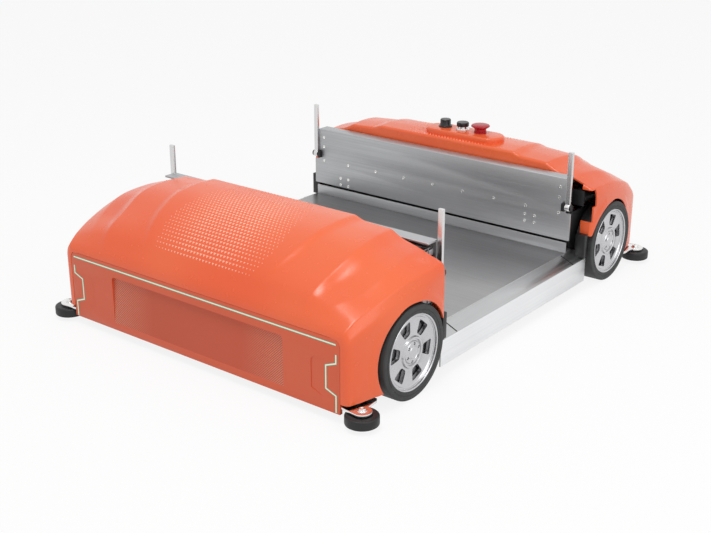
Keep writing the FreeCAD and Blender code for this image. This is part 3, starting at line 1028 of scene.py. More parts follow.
def blend_points(first: Point, second: Point, share: float) -> Point:
    """Point between two points."""
    return (first[0] + (second[0] - first[0]) * share, first[1] + (second[1] - first[1]) * share)


def bezier(start: Point, control: Point, end: Point, steps: int) -> list[Point]:
    """Points of a quadratic curve.

    Args:
        start: first point.
        control: control point.
        end: last point.
        steps: number of spans.

    Returns:
        One more point than steps.
    """
    points = []
    for step in range(steps + 1):
        share = step / steps
        first, second = blend_points(start, control, share), blend_points(control, end, share)
        points.append(blend_points(first, second, share))
    return points


@dataclass
class BossField:
    """Staggered triangular bosses on the cover's crown, largest towards its front."""

    cover: Cover
    pitch: float = 7.4
    front: float = 451.0
    back: float = 252.0
    half_width: float = 126.0
    largest: float = 4.6
    smallest: float = 0.7
    height: float = 0.75
    densest: float = 395.0
    narrowing: float = 0.22
    edge_share: float = 0.42
    back_reach: float = 110.0

    def radius(self, place: float, across: float) -> float:
        """Radius of the boss at a place, which shrinks away from the densest spot."""
        side = 1.0 - abs(across) / (self.half_width - self.narrowing * abs(place - self.densest))
        if side <= 0.0:
            return 0.0
        ahead = min(1.0, (self.front + 14.0 - place) / 20.0)
        behind = min(1.0, self.edge_share + (1.0 - self.edge_share) * (place - self.back) / self.back_reach)
        return self.largest * min(1.0, self.edge_share + 0.95 * side) * ahead * behind

    def build(self) -> Piece:
        """One mesh of every boss, each a low three-sided cap."""
        Bench.clear()
        bpy.ops.mesh.primitive_cone_add(vertices=3, radius1=MM, radius2=0.45 * MM, depth=MM,
                                        rotation=(0, 0, math.pi))
        cap = Bench.named("boss_cap")
        caps = []
        row = 0
        place = self.back
        while place < self.front:
            across = -self.half_width + (row % 2) * self.pitch / 2
            while across < self.half_width:
                radius = self.radius(place, across)
                if radius > self.smallest:
                    caps.append(self.stand(cap, place, across, radius))
                across += self.pitch
            place += self.pitch * 0.86
            row += 1
        bpy.data.objects.remove(cap)
        return Bench.join("boss_pattern", caps)

    def stand(self, cap: Piece, place: float, across: float, radius: float) -> Piece:
        """Copy of the cap, standing on the cover's slope.

        Args:
            cap: cap of unit radius at the origin.
            place: place along X.
            across: place along Y.
            radius: radius in millimetres.

        Returns:
            The copy.
        """
        seat = self.cover.height(place, across)
        ahead = self.cover.height(place + 1.0, across)
        normal = Vector((seat - ahead, 0.0, 1.0)).normalized()
        turn = normal.to_track_quat("Z", "Y").to_matrix().to_4x4()
        size = Matrix.Diagonal((radius, radius, self.height * 2, 1.0))
        return Bench.copy(cap, "boss", Matrix.Translation(mm(place, across, seat)) @ turn @ size)


@dataclass
class FacePanel:
    """Front face panel with its seam, recess, pockets and light lines."""

    front: float = 472.9
    thickness: float = 6.4
    half_width: float = 311.0
    bottom: float = 16.0
    top: float = 140.4
    corner: float = 12.4
    edge: float = 0.7
    recess_y: Point = (-203.0, 196.0)
    recess_z: Point = (30.0, 117.0)
    recess_depth: float = 5.8
    recess_corner: float = 7.0
    pocket: tuple[Point, ...] = ((286.0, 103.0), (258.5, 101.0), (253.5, 96.0), (253.5, 47.0), (278.0, 38.0),
                                 (286.0, 36.0))
    pocket_depth: float = 1.1
    light_width: float = 3.9
    core_width: float = 2.3
    top_light_z: float = 132.0
    light_reach: float = 303.5
    jog: float = 20.0
    side_light: tuple[Point, ...] = ((115.7, 0), (101.0, 0), (93.0, 1), (54.0, 1), (46.5, 0), (18.0, 0))

    def plate(self) -> Piece:
        """Panel with rounded top corners and eased edges."""
        low = self.bottom - 12.0
        outline = [(-self.half_width, low), (self.half_width, low)]
        for side in (1, -1):
            outline += round_shoulder(side * self.half_width, self.top, self.corner, side, 8)
        back = self.front - self.thickness
        piece = Bench.slab("face_panel_front_plate", [mm(back, y, z) for y, z in outline],
                           mm(self.thickness, 0, 0))
        Bench.pick(piece)
        bpy.ops.object.mode_set(mode="EDIT")
        bpy.ops.mesh.select_all(action="SELECT")
        bpy.ops.mesh.bisect(plane_co=mm(0, 0, self.bottom), plane_no=(0, 0, 1), use_fill=True,
                            clear_inner=True)
        Bench.finish_edit()
        Bench.ease(piece, self.edge, 3, 40.0)
        return piece

    def wedge(self, name: str, outline: list[Point], depth_at: Callable[[float, float], float]) -> Piece:
        """Cutter that starts before the face and reaches a depth that changes over its outline.

        Args:
            name: name of the object.
            outline: corners as Y and Z.
            depth_at: gives the depth behind the face at a distance from the middle and a height.

        Returns:
            The cutter.
        """
        piece = Bench.path(name, [mm(self.front + 0.5, y, z) for y, z in outline])
        bpy.ops.mesh.edge_face_add()
        bpy.ops.mesh.extrude_region_move(TRANSFORM_OT_translate={"value": mm(-0.6, 0, 0)})
        bpy.ops.object.mode_set(mode="OBJECT")
        for vertex in piece.data.vertices:
            if vertex.co.x < self.front * MM:
                vertex.co.x = (self.front - depth_at(abs(vertex.co.y) / MM, vertex.co.z / MM)) * MM
        Bench.pick(piece)
        bpy.ops.object.mode_set(mode="EDIT")
        Bench.finish_edit()
        return piece

    def recess_cutter(self) -> Piece:
        """Wedge that is deep under the recess's top edge and runs out at its bottom."""
        low_y, high_y = self.recess_y
        low_z, high_z = self.recess_z
        outline = [(low_y, low_z), (high_y, low_z)]
        for side, edge in ((1, high_y), (-1, low_y)):
            outline += round_shoulder(edge, high_z, self.recess_corner, side, 5)
        return self.wedge("recess_cutter", outline, lambda _, height: 0.02 + self.recess_depth * (
            (height - low_z) / (high_z - low_z)) ** 0.9)

    def pocket_cutter(self, side: int) -> Piece:
        """Shallow wedge beside the left (1) or right (-1) side light, deepest at its inner edge."""
        inner = min(y for y, _ in self.pocket)
        outer = max(y for y, _ in self.pocket)
        outline = [(side * y, z) for y, z in self.pocket]
        return self.wedge("pocket_cutter", outline, lambda reach, _: self.pocket_depth * (outer - reach) / (
            outer - inner) - 0.05)

    def build(self) -> Piece:
        """Front panel, cut to take two finishes: the plain face and the hatched recess floor."""
        piece = self.plate()
        Bench.cut(piece, self.recess_cutter(), self.pocket_cutter(1), self.pocket_cutter(-1))
        Bench.smooth(piece)
        return piece

    def hatch(self, piece: Piece) -> None:
        """Give the recess floor the second finish of a dressed panel."""
        low_y, high_y = self.recess_y
        for face in piece.data.polygons:
            centre = face.center / MM
            inside = low_y < centre.y < high_y and self.recess_z[0] < centre.z < self.recess_z[1]
            sunk = self.front - self.thickness + 0.2 < centre.x < self.front - 0.3
            if inside and sunk and face.normal.x > 0.9:
                face.material_index = 1

    def light(self, name: str, path: list[Point], width: float, proud: float) -> Piece:
        """Bar along a path on the panel's face.

        Args:
            name: name of the object.
            path: corners as Y and Z.
            width: width in millimetres.
            proud: how far the bar stands out of the face.

        Returns:
            The bar.
        """
        sides = mitred(path, width / 2) + list(reversed(mitred(path, -width / 2)))
        return Bench.slab(name, [mm(self.front - 1.0, y, z) for y, z in sides], mm(1.0 + proud, 0, 0))

    def lights(self) -> list[tuple[str, list[Point]]]:
        """Name and path of each light line."""
        reach = self.light_reach
        rows = [("top", [(-reach, self.top_light_z), (reach, self.top_light_z)])]
        for name, side in (("left", 1), ("right", -1)):
            rows.append((name, [(side * (reach - self.jog * jog), z) for z, jog in self.side_light]))
        return rows

    def light_lines(self, finishes: Finishes) -> Piece:
        """Every light line: a dark edge bar with a pale core bar on it."""
        bars = []
        for name, path in self.lights():
            edge = self.light("edge_" + name, path, self.light_width, 0.15)
            finishes.dress(edge, "light_edge")
            core = self.light("core_" + name, path, self.core_width, 0.3)
            finishes.dress(core, "light_core")
            bars += [edge, core]
        return Bench.join("panel_lights_front_lines", bars)


def mitred(path: list[Point], distance: float) -> list[Point]:
    """Points of a path moved sideways with mitred corners.

    Args:
        path: corners of the path.
        distance: distance to the left of it.

    Returns:
        One point for each corner.
    """
    moved = []
    for index, point in enumerate(path):
        steps = []
        if index > 0:
            steps.append(heading(path[index - 1], point))
        if index < len(path) - 1:
            steps.append(heading(point, path[index + 1]))
        first, second = steps[0], steps[-1]
        across = Vector((-(first.y + second.y), first.x + second.x)).normalized()
        stretch = distance / across.dot(Vector((-first.y, first.x)))
        moved.append((point[0] + across.x * stretch, point[1] + across.y * stretch))
    return moved


def heading(start: Point, end: Point) -> Vector:
    """Unit step from one point to another."""
    return (Vector(end) - Vector(start)).normalized()


@dataclass
class Wheel:
    """Drive wheel: cast rim with six windows, and a solid tyre."""

    place: Point = (331.8, 80.0)
    outer: float = 348.4
    width: float = 38.0
    radius: float = 80.0
    rim_radius: float = 65.0
    window_inner: float = 30.5
    window_outer: float = 52.5
    window_narrow: float = 15.0
    window_wide: float = 28.5
    window_turn: float = 20.0
    window_corner: float = 4.5
    disc_depth: float = 6.5
    bolt_circle: float = 15.2
    spokes: int = 6

    def profile(self, points: list[Point]) -> list[Vector]:
        """Radius and place along Y of each corner as places in metres."""
        return [mm(self.place[0] + radius, y, self.place[1]) for radius, y in points]

    def spun(self, name: str, points: list[Point], steps: int = 96) -> Piece:
        """Solid turned round the wheel's axis."""
        centre = mm(self.place[0], 0, self.place[1])
        return Bench.lathe(name, self.profile(points), centre, Vector((0, 1, 0)), steps)

    def tyre(self) -> Piece:
        """Tyre with round shoulders and a fine line on its side."""
        inner = self.outer - self.width
        shoulder = 2.6
        outer, tread, side = self.outer, self.radius, self.radius - shoulder
        profile = [(self.rim_radius, inner + 0.6), (self.rim_radius + 1.0, inner)]
        profile += bezier((side, inner), (tread, inner), (tread, inner + shoulder), 5)
        profile += bezier((tread, outer - shoulder), (tread, outer), (side, outer), 5)
        profile += [(71.6, outer), (71.2, outer - 0.5), (70.6, outer - 0.5), (70.2, outer),
                    (self.rim_radius + 1.2, outer), (self.rim_radius, outer - 1.2)]
        piece = self.spun("tyre", profile, 112)
        Bench.smooth(piece)
        return piece

    def rim(self) -> Piece:
        """Rim with a stepped lip, cut windows, a domed hub and bolt sockets."""
        inner = self.outer - self.width + 1.0
        outer = self.outer - 0.5
        disc = outer - self.disc_depth
        profile = [(10.05, inner), (21.0, inner), (21.0, disc - 7.0), (58.5, disc - 7.0), (61.0, disc - 10.0),
                   (61.0, inner), (65.0, inner), (65.0, outer - 0.8), (64.2, outer), (62.6, outer),
                   (61.9, outer - 0.8), (61.6, outer - 3.6), (60.8, outer - 4.2), (59.2, outer - 4.2),
                   (58.4, outer - 5.2), (57.6, disc + 0.6), (55.6, disc + 0.4), (54.8, disc), (28.6, disc),
                   (27.2, disc + 0.8), (25.8, outer - 2.6), (24.8, outer - 2.2), (22.8, outer - 2.2),
                   (22.2, outer - 3.2), (21.8, outer - 5.2), (19.6, outer - 5.2), (18.8, outer - 3.4),
                   (17.8, outer - 2.4), (12.4, outer - 1.6), (11.6, outer - 2.4), (10.2, outer - 2.4),
                   (9.4, outer - 1.4), (0.0, outer - 0.9), (0.0, outer - 6.0), (10.05, outer - 6.0)]
        piece = self.spun("rim", profile)
        cutters = [self.window(number) for number in range(self.spokes)]
        cutters += [self.in_hub("socket", number, 20, 2.6, 7.0, 3.4) for number in range(self.spokes)]
        Bench.cut(piece, *cutters)
        Bench.ease(piece, 0.9, 2, 50.0)
        Bench.smooth(piece)
        return piece

    def drum(self) -> Piece:
        """Grey drum behind the windows."""
        face = self.outer - 16.5
        profile = [(21.2, face - 4.0), (60.6, face - 4.0), (60.6, face - 1.0), (52.0, face - 1.0),
                   (50.0, face), (30.0, face), (28.0, face - 1.0), (21.2, face - 1.0)]
        piece = self.spun("drum", profile, 64)
        Bench.smooth(piece)
        return piece

    def round_axis(self, number: float) -> Matrix:
        """Turn about the wheel's axis to the place of a spoke or, with a half, of what is between two."""
        centre = mm(self.place[0], 0, self.place[1])
        turn = Matrix.Rotation(2 * math.pi * number / self.spokes + math.radians(self.window_turn), 4, "Y")
        return Matrix.Translation(centre) @ turn @ Matrix.Translation(-centre)

    def window(self, number: int) -> Piece:
        """Cutter for one window between two spokes, with round corners."""
        corners = [(-self.window_narrow / 2, self.window_inner), (self.window_narrow / 2, self.window_inner),
                   (self.window_wide / 2, self.window_outer), (-self.window_wide / 2, self.window_outer)]
        outline = []
        for index, corner in enumerate(corners):
            before = corners[index - 1]
            after = corners[(index + 1) % 4]
            start = blend_points(corner, before, self.window_corner / math.dist(corner, before))
            end = blend_points(corner, after, self.window_corner / math.dist(corner, after))
            outline += bezier(start, corner, end, 4)
        start_y = self.outer - self.width - 1.0
        points = [mm(self.place[0] + x, start_y, self.place[1] + z) for x, z in outline]
        piece = Bench.slab("window", points, mm(0, self.width + 4.0, 0))
        piece.data.transform(self.round_axis(number))
        return piece

    def in_hub(self, name: str, number: int, sides: int, radius: float, depth: float,
               sunk: float) -> Piece:
        """Short cylinder in the hub between two windows.

        Args:
            name: name of the object.
            number: window after which it stands.
            sides: facets round.
            radius: radius in millimetres.
            depth: length in millimetres.
            sunk: distance of its middle behind the wheel's outer side.

        Returns:
            The cylinder.
        """
        Bench.clear()
        place = mm(self.place[0], self.outer - sunk, self.place[1] + self.bolt_circle)
        bpy.ops.mesh.primitive_cylinder_add(vertices=sides, radius=radius * MM, depth=depth * MM,
                                            location=place, rotation=(math.pi / 2, 0, 0))
        piece = Bench.named(name)
        if name == "bolt":
            Bench.ease(piece, 0.3, 1)
        piece.data.transform(self.round_axis(number + 0.5))
        return piece

    def bolts(self) -> Piece:
        """Hex bolt heads that sit in the hub's sockets."""
        heads = [self.in_hub("bolt", number, 6, 1.7, 2.2, 5.4) for number in range(self.spokes)]
        return Bench.join("hub_bolts", heads)

    def dress(self, shuttle: Shuttle) -> None:
        """Seat four wheels on their bodies."""
        body = "wheel_@"
        shuttle.dress_corners(self.tyre(), "tyre_rubber", "tyre_round_", body, "tyre_rubber", "tyre_@")
        shuttle.dress_corners(self.rim(), "rim_alloy", "rim_cast_", body, "rim_alloy", "rim_@")
        shuttle.dress_corners(self.bolts(), "zinc_plate", "hub_bolts_", body, "zinc")
        shuttle.dress_corners(self.drum(), "drum_grey", "rim_drum_", body, "rim_alloy")


@dataclass
class GuideRoller:
    """Guide roller with round shoulders, and its bracket's tongue with the pin, washer and bolt."""

    place: Point = (460.0, 343.5)
    radius: float = 27.4
    bottom: float = 8.0
    height: float = 16.0
    plate_top: float = 30.0
    plate_thickness: float = 4.0
    nose: float = 16.0
    root: tuple[Point, ...] = ((420.0, 341.0), (414.0, 337.0), (414.0, 300.0), (470.0, 300.0))

    def profile(self, points: list[Point]) -> list[Vector]:
        """Radius and height of each corner as places in metres."""
        return [mm(self.place[0] + radius, self.place[1], z) for radius, z in points]

    def spun(self, name: str, points: list[Point], steps: int = 64) -> Piece:
        """Solid turned round the roller's upright axis."""
        return Bench.lathe(name, self.profile(points), mm(*self.place, 0), Vector((0, 0, 1)), steps)

    def band(self) -> Piece:
        """Roller band."""
        top = self.bottom + self.height
        low, side = self.bottom, self.radius
        profile = [(6.05, low + 0.2), (23.0, low)]
        profile += bezier((25.4, low), (side, low), (side, low + 2.4), 4)
        profile += bezier((side, top - 3.0), (side - 0.2, top - 0.2), (side - 3.6, top), 5)
        profile += [(16.5, top), (15.5, top - 0.8), (6.05, top - 0.8)]
        piece = self.spun("guide_roller", profile)
        Bench.smooth(piece)
        return piece

    def plate(self) -> Piece:
        """Tongue that widens from its round nose to the chassis, with eased edges."""
        outline = []
        for step in range(25):
            turn = -math.pi * 0.06 + math.pi * 1.06 * step / 24
            arm = (self.nose * math.cos(turn), self.nose * math.sin(turn))
            outline.append((self.place[0] + arm[0], self.place[1] + arm[1]))
        outline += self.root
        low = self.plate_top - self.plate_thickness
        piece = Bench.slab("tongue", [mm(x, y, low) for x, y in outline], mm(0, 0, self.plate_thickness))
        Bench.ease(piece, 0.6, 2, 40.0)
        Bench.smooth(piece)
        return piece

    def pin(self) -> Piece:
        """Pin through the roller, with its foot."""
        piece = self.spun("pin", [(0.0, 4.0), (7.4, 4.0), (8.0, 4.6), (8.0, 7.4), (7.6, 7.8), (6.0, 7.8),
                                  (6.0, self.plate_top - 1.0), (0.0, self.plate_top - 1.0)], 40)
        Bench.smooth(piece)
        return piece

    def bolt(self) -> Piece:
        """Washer and domed bolt head with a hex socket."""
        seat = self.plate_top
        piece = self.spun("bolt", [(0.0, seat - 0.5), (8.0, seat - 0.5), (8.0, seat + 0.9), (7.5, seat + 1.3),
                                   (5.9, seat + 1.3), (5.9, seat + 2.4), (5.2, seat + 3.9), (3.6, seat + 4.7),
                                   (0.0, seat + 4.9)], 40)
        Bench.clear()
        bpy.ops.mesh.primitive_cylinder_add(vertices=6, radius=2.6 * MM, depth=4 * MM,
                                            location=mm(*self.place, seat + 5.2))
        Bench.cut(piece, Bench.named("hex"))
        Bench.smooth(piece)
        return piece

    def dress(self, shuttle: Shuttle) -> None:
        """Seat four rollers and the hardware above them."""
        shuttle.dress_corners(self.band(), "roller_rubber", "guide_band_", "roller_@", "roller_rubber",
                              "guide_roller_@")
        tongue = Bench.join("tongue_and_pin", [self.plate(), self.pin()])
        shuttle.dress_corners(tongue, "bracket_steel", "bracket_tongue_", "chassis", "zinc",
                              "roller_brackets")
        shuttle.dress_corners(self.bolt(), "zinc_plate", "bracket_bolt_", "chassis", "zinc")


@dataclass
class Controls:
    """Two knobs and the stop button on the rear cover's pad."""

    place_x: float = -292.0
    first_y: float = -26.0
    pitch: float = 43.0
    pad_top: float = 262.0

    def spun(self, name: str, number: int, points: list[Point], steps: int = 48) -> Piece:
        """Solid turned round an upright axis.

        Args:
            name: name of the object.
            number: place in the row of controls.
            points: radius and height above the pad.
            steps: facets round.

        Returns:
            The solid.
        """
        across = self.first_y + number * self.pitch
        profile = [mm(self.place_x + radius, across, self.pad_top + z) for radius, z in points]
        piece = Bench.lathe(name, profile, mm(self.place_x, across, 0), Vector((0, 0, 1)), steps)
        Bench.smooth(piece)
        return piece

    def knurl(self, piece: Piece, number: int, radius: float, low: float) -> None:
        """Pull every second edge of a knob's side inwards, as grip ribs.

        Args:
            piece: knob.
            number: its place in the row.
            radius: radius of its side.
            low: height above the pad where the ribs begin.
        """
        centre = mm(self.place_x, self.first_y + number * self.pitch, 0)
        for vertex in piece.data.vertices:
            arm = vertex.co - centre
            arm.z = 0.0
            step = round(math.atan2(arm.y, arm.x) / (2 * math.pi / 48))
            if arm.length > (radius - 1.0) * MM and vertex.co.z > (self.pad_top + low) * MM and step % 2:
                vertex.co -= arm.normalized() * 0.5 * MM

    def dress(self, shuttle: Shuttle) -> None:
        """Seat the three controls."""
        selector = self.spun("mode_knob_turned", 0, [
            (0, 0), (14.0, 0), (14.0, 2.2), (13.2, 3.0), (11.4, 3.2), (11.0, 4.0), (11.0, 14.6), (9.8, 16.0),
            (0, 16.0)])
        self.knurl(selector, 0, 11.0, 4.0)
        shuttle.finishes.dress(selector, "control_black")
        shuttle.seat(selector, "chassis", "control_black", "mode_knob")
        starter = self.spun("start_knob_turned", 1, [
            (0, 7.4), (12.2, 7.4), (12.6, 8.2), (12.6, 14.4), (11.4, 16.0), (0, 16.0)])
        self.knurl(starter, 1, 12.6, 8.0)
        collar = self.spun("start_knob_collar", 1, [
            (0, 0), (14.0, 0), (14.0, 1.6), (13.0, 2.6), (10.6, 3.0), (10.2, 7.4), (0, 7.4)])
        shuttle.finishes.dress(starter, "control_black")
        shuttle.finishes.dress(collar, "zinc_plate")
        shuttle.seat(starter, "chassis", "control_black", "start_knob")
        shuttle.seat(collar, "chassis", "zinc")
        stop = self.spun("stop_head_turned", 2, [
            (0, 0), (12.8, 0), (12.8, 3.0), (12.0, 3.6), (12.0, 8.2), (13.4, 10.0), (17.6, 12.4), (19.0, 13.6),
            (19.0, 15.0), (18.2, 16.4), (15.0, 17.5), (8.0, 18.0), (0, 18.0)], 64)
        shuttle.finishes.dress(stop, "stop_red")
        shuttle.seat(stop, "chassis", "stop_red", "emergency_stop")


@dataclass
class Forks:
    """Bevelled fork pieces, with the rivets and screws of the bed-side plates."""

    face: float = 214.6
    row_z: float = 158.0
    row_y: tuple[float, ...] = (-224.5, -149.6, -76.0, -2.5, 71.4, 145.6, 218.6)
    group_y: tuple[Point, ...] = ((218.5, 240.0), (-245.8, -224.6))
    group_z: tuple[Point, ...] = ((140.5, 127.0), (125.5, 110.6))
    end_y: Point = (292.0, -292.0)
    end_z: Place = (210.0, 189.0, 158.0)
    pieces: tuple[tuple[str, str, str, str, float], ...] = (
        ("finger_plate_", "fork_@", "stainless", "sheet_upright", 0.5),
        ("finger_drives_", "fork_@", "drive_black", "drive_black", 0.5),
        ("fork_stage_", "stage_@", "slide_steel", "slide_steel", 0.4),
        ("fork_rail_", "chassis", "slide_steel", "slide_steel", 0.4),
        ("bed_wall_", "chassis", "stainless", "sheet_upright", 0.5),
        ("bulkhead_", "chassis", "frame_dark", "frame_coat", 0.4),
        ("fork_drive_", "chassis", "drive_black", "drive_black", 0.6),
    )

    def screw(self) -> Piece:
        """Flat round head with a hollow, standing on the rear plate's bed side."""
        seat = -self.face
        profile = [(0.0, -0.4), (3.4, -0.4), (3.4, 0.5), (2.9, 0.9), (1.7, 0.9), (1.5, 0.1), (0.0, 0.1)]
        points = [mm(seat + out, 0, radius) for radius, out in profile]
        piece = Bench.lathe("screw", points, mm(seat, 0, 0), Vector((1, 0, 0)), 20)
        Bench.smooth(piece)
        return piece

    def screws(self) -> Piece:
        """Every screw head of the rear plate."""
        pattern = self.screw()
        places = [(y, self.row_z) for y in self.row_y]
        for columns, rows in zip(self.group_y, self.group_z):
            places += [(y, z) for z in rows for y in columns]
        places += [(y, z) for y in self.end_y for z in self.end_z]
        heads = [Bench.copy(pattern, "head", Matrix.Translation(mm(0, y, z))) for y, z in places]
        bpy.data.objects.remove(pattern)
        return Bench.join("plate_screws", heads)

    def dress(self, shuttle: Shuttle) -> None:
        """Bevel and dress each fork piece, and seat the screws."""
        screws = self.screws()
        shuttle.finishes.dress(screws, "zinc_plate")
        for end in End:
            name = end.label
            turned = End.REAR.placing() if end is End.FRONT else Matrix.Identity(4)
            shuttle.seat(Bench.copy(screws, "plate_screws_" + name, turned), "fork_" + name, "zinc")
            for node, body, slot, finish, width in self.pieces:
                shuttle.refine(node + name, body.replace("@", name), slot, finish, width)
        for corner in Corner:
            finger = "finger_" + corner.label
            shuttle.refine(finger, finger, "finger_steel", "finger_bar", 0.8, 3)
        bpy.data.objects.remove(screws)


@dataclass
class Chassis:
    """Bed, side frames and what is closed in below."""

    lip_start: float = 312.0
    lip_run: float = 28.0
    lip_top: float = 79.4
    lip_drop: float = 12.4
    slot_x: float = 198.0
    slot_half: float = 1.3
    block_x: Point = (234.0, 245.6)
    block_y: Point = (322.0, 342.0)
    block_z: Point = (70.0, 116.0)

    def dress(self, shuttle: Shuttle) -> None:
        """Bevel and dress each chassis piece."""
        rows = (
            ("deck", "deck_metal", "sheet_deck", 0.6),
            ("side_frame_left", "frame_dark", "frame_coat", 0.5),
            ("side_frame_right", "frame_dark", "frame_coat", 0.5),
            ("base_tray", "frame_dark", "frame_coat", 0.4),
            ("wheel_axles", "frame_dark", "frame_coat", 0.5),
            ("battery_pack", "pack_grey", "pack_grey", 2.0),
            ("drive_motors", "pack_grey", "pack_grey", 2.0),
        )
        for node, slot, finish, width in rows:
            copy = shuttle.refine(node, "chassis", slot, finish, width)
            if node == "deck":
                # The third sheet paints the floor's reflection on the deck's upright aprons.
                shuttle.finishes.dress(copy, finish, "sheet_lip", "sheet_apron")
                self.shade_edges(copy)
        shuttle.dress_corners(self.slot_line(), "drive_black", "lip_slot_", "chassis", "frame_dark")
        shuttle.dress_corners(self.end_block(), "drive_black", "deck_block_", "chassis", "frame_dark")

    def shade_edges(self, deck: Piece) -> None:
        """Give the sloped lips of the deck their own sheet, and its upright aprons a pale copy of the deck's
        sheet that is a painted reflection of the white floor.
        """
        for face in deck.data.polygons:
            # Upright faces get the pale apron sheet, a painted reflection of the floor.
            if abs(face.normal.y) > 0.75:
                face.material_index = 2
            elif abs(face.center.y) > (self.lip_start + 1.0) * MM and face.normal.z > 0.5:
                face.material_index = 1

    def slot_line(self) -> Piece:
        """Dark joint line across a lip near its end."""
        low_x, high_x = self.slot_x - self.slot_half, self.slot_x + self.slot_half
        start_y, end_y = self.lip_start, self.lip_start + self.lip_run - 1.0
        start_z, end_z = self.lip_top + 0.3, self.lip_top - self.lip_drop + 0.8
        points = [mm(low_x, start_y, start_z), mm(high_x, start_y, start_z), mm(high_x, end_y, end_z),
                  mm(low_x, end_y, end_z)]
        return Bench.slab("slot_line", points, mm(0, 0, -1.4))

    def end_block(self) -> Piece:
        """Dark block at the deck's corner, under the cover's back edge."""
        (back, front), (inner, outer), (low, high) = self.block_x, self.block_y, self.block_z
        points = [mm(back, inner, low), mm(front, inner, low), mm(front, outer, low), mm(back, outer, low)]
        piece = Bench.slab("end_block", points, mm(0, 0, high - low))
        Bench.ease(piece, 1.0, 2, 40.0)
        Bench.smooth(piece)
        return piece


@dataclass
class Mouldings:
    """Covers, face panels and the control pad."""

    pad_x: float = -288.0
    pad_y: float = 25.0
    pad_length: float = 180.0
    pad_width: float = 60.0
    pad_top: float = 262.0
    pad_depth: float = 16.0

    def pad(self) -> Piece:
        """Raised round-ended pad on the rear cover."""
        radius = self.pad_width / 2
        straight = self.pad_length / 2 - radius
        outline = []
        for side in (1, -1):
            for step in range(25):
                turn = math.pi * step / 24
                outline.append((self.pad_x - side * radius * math.cos(turn),
                                self.pad_y + side * (straight + radius * math.sin(turn))))
        piece = Bench.slab("control_pad", [mm(x, y, self.pad_top - self.pad_depth) for x, y in outline],
                           mm(0, 0, self.pad_depth))
        Bench.ease(piece, 4.0, 4, 60.0)
        Bench.smooth(piece)
        return piece

    def dress(self, shuttle: Shuttle) -> None:
        """Build the front mouldings and turn copies of them to the rear."""
        cover = Cover()
        shell = cover.build()
        shuttle.finishes.dress(shell, "cover_orange")
        bosses = BossField(cover).build()
        shuttle.finishes.dress(bosses, "boss_salmon")
        panel = FacePanel()
        plate = panel.build()
        # The plate's panel_orange is a darker copy of the cover's orange, a painted shade on the front face.
        shuttle.finishes.dress(plate, "panel_orange", "recess_hatch")
        panel.hatch(plate)
        lines = panel.light_lines(shuttle.finishes)
        for end in End:
            name, placing = end.label, end.placing()
            skin = Bench.copy(shell, "cover_shell_" + name, placing)
            shuttle.seat(skin, "chassis", "cover_orange", "cover_" + name)
            shuttle.seat(Bench.copy(bosses, "cover_bosses_" + name, placing), "chassis", "cover_orange")
            shuttle.seat(Bench.copy(plate, "face_plate_" + name, placing), "chassis", "panel_orange",
                         "face_panel_" + name, "panel_grille_" + name)
            shuttle.seat(Bench.copy(lines, "light_lines_" + name, placing), "chassis", "light_green",
                         "panel_lights_" + name)
        for piece in (shell, bosses, plate, lines):
            bpy.data.objects.remove(piece)
        pad = self.pad()
        shuttle.finishes.dress(pad, "cover_orange")
        shuttle.seat(pad, "chassis", "cover_orange")


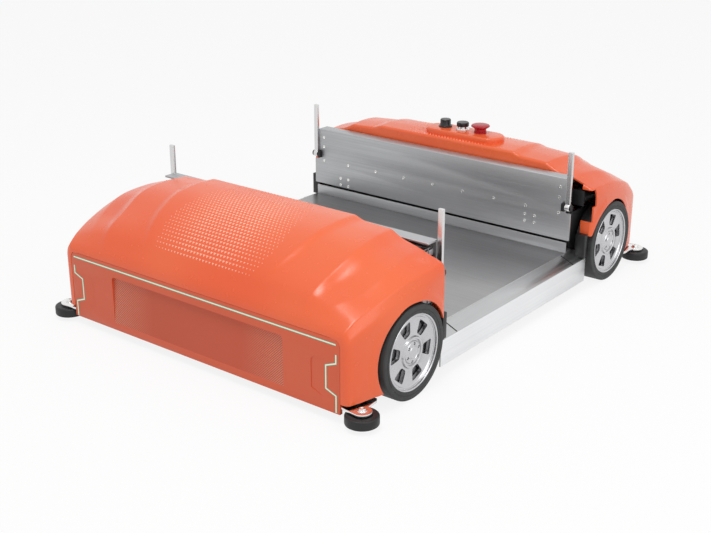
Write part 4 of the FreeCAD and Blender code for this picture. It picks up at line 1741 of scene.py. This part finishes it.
@dataclass
class Studio:
    """Pale floor, soft light and the camera of the photograph."""

    camera_place: Place = (1712.75, 1325.25, 876.65)
    pitch: float = 68.93
    heading: float = 128.44
    lens: float = 59.89
    floor_lift: float = 0.86
    light_level: float = 0.55
    shown_level: float = 1.0
    lamps: tuple[tuple[str, Place, float, float], ...] = (
        ("overhead", (1.0, 0.35, 2.6), 0.9, 24.0),
        ("left_window", (0.4, 2.6, 1.5), 1.8, 16.0),
    )

    def floor(self) -> None:
        """Wide floor that keeps the shadow and looks white to the camera."""
        Bench.clear()
        bpy.ops.mesh.primitive_plane_add(size=30.0)
        floor = Bench.named("studio_floor")
        board = NodeBoard("studio_floor")
        place = board.place()
        grey = board.spread(board.noise(place, 2.0), 0.0, 1.0)
        board.colour(board.paint(grey, (0.93, 0.93, 0.93), (0.94, 0.94, 0.94)))
        board.set_shader(Roughness=0.9, Specular_IOR_Level=0.1)
        self.whiten(board)
        floor.data.materials.append(board.material)
        floor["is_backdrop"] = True

    def seen_rays(self, tree: bpy.types.NodeTree) -> Socket:
        """1 for rays that show the surroundings: from the camera, in a reflection or through glass.

        Args:
            tree: node tree that gets the nodes.

        Returns:
            The value socket.
        """
        rays = tree.nodes.new("ShaderNodeLightPath")
        first = tree.nodes.new("ShaderNodeMath")
        second = tree.nodes.new("ShaderNodeMath")
        for step in (first, second):
            step.operation = "ADD"
            step.use_clamp = True
        tree.links.new(rays.outputs["Is Camera Ray"], first.inputs[0])
        tree.links.new(rays.outputs["Is Glossy Ray"], first.inputs[1])
        tree.links.new(first.outputs[0], second.inputs[0])
        tree.links.new(rays.outputs["Is Transmission Ray"], second.inputs[1])
        return second.outputs[0]

    def whiten(self, board: NodeBoard) -> None:
        """Lift the floor towards white where it is seen, and keep a share of its shadow."""
        lift = board.sums("MULTIPLY", self.seen_rays(board.tree), self.floor_lift)
        glow = board.add("ShaderNodeEmission")
        mix = board.add("ShaderNodeMixShader")
        output = next(node for node in board.tree.nodes if node.type == "OUTPUT_MATERIAL")
        board.link(lift, mix.inputs["Fac"])
        board.link(board.shader.outputs["BSDF"], mix.inputs[1])
        board.link(glow.outputs["Emission"], mix.inputs[2])
        board.link(mix.outputs["Shader"], output.inputs["Surface"])

    def world(self) -> None:
        """Even white surroundings."""
        world = bpy.data.worlds.new("studio")
        world.use_nodes = True
        tree = world.node_tree
        tree.nodes.clear()
        output = tree.nodes.new("ShaderNodeOutputWorld")
        mix = tree.nodes.new("ShaderNodeMixShader")
        tree.links.new(self.seen_rays(tree), mix.inputs["Fac"])
        for socket, strength in ((1, self.light_level), (2, self.shown_level)):
            white = tree.nodes.new("ShaderNodeBackground")
            white.inputs["Color"].default_value = (1.0, 1.0, 1.0, 1.0)
            white.inputs["Strength"].default_value = strength
            tree.links.new(white.outputs["Background"], mix.inputs[socket])
        tree.links.new(mix.outputs["Shader"], output.inputs["Surface"])
        bpy.context.scene.world = world

    def lamp(self, name: str, place: Place, size: float, power: float) -> None:
        """Square soft lamp aimed at the middle of the shuttle.

        Args:
            name: name of the lamp.
            place: place in metres.
            size: side in metres.
            power: power in watts.
        """
        data = bpy.data.lights.new(name, "AREA")
        data.size = size
        data.energy = power
        lamp = bpy.data.objects.new(name, data)
        lamp.location = place
        aim = Vector((0.0, 0.0, 0.15)) - Vector(place)
        lamp.rotation_mode = "QUATERNION"
        lamp.rotation_quaternion = aim.to_track_quat("-Z", "Y")
        bpy.context.scene.collection.objects.link(lamp)

    def camera(self) -> None:
        """Camera at the photograph's place."""
        data = bpy.data.cameras.new("camera")
        data.lens = self.lens
        data.sensor_width = 36.0
        camera = bpy.data.objects.new("camera", data)
        camera.location = mm(*self.camera_place)
        camera.rotation_euler = (math.radians(self.pitch), 0.0, math.radians(self.heading))
        bpy.context.scene.collection.objects.link(camera)
        bpy.context.scene.camera = camera

    def build(self) -> None:
        """Set up the whole studio."""
        self.floor()
        self.world()
        for row in self.lamps:
            self.lamp(*row)
        self.camera()
        bpy.context.scene.view_settings.view_transform = "Standard"


def main() -> None:
    """Build every sub-assembly in order."""
    logging.basicConfig(level=logging.INFO, format="%(message)s")
    shuttle = Shuttle()
    Studio().build()
    Mouldings().dress(shuttle)
    Wheel().dress(shuttle)
    GuideRoller().dress(shuttle)
    Controls().dress(shuttle)
    Forks().dress(shuttle)
    Chassis().dress(shuttle)


if __name__ == "__main__":
    main()
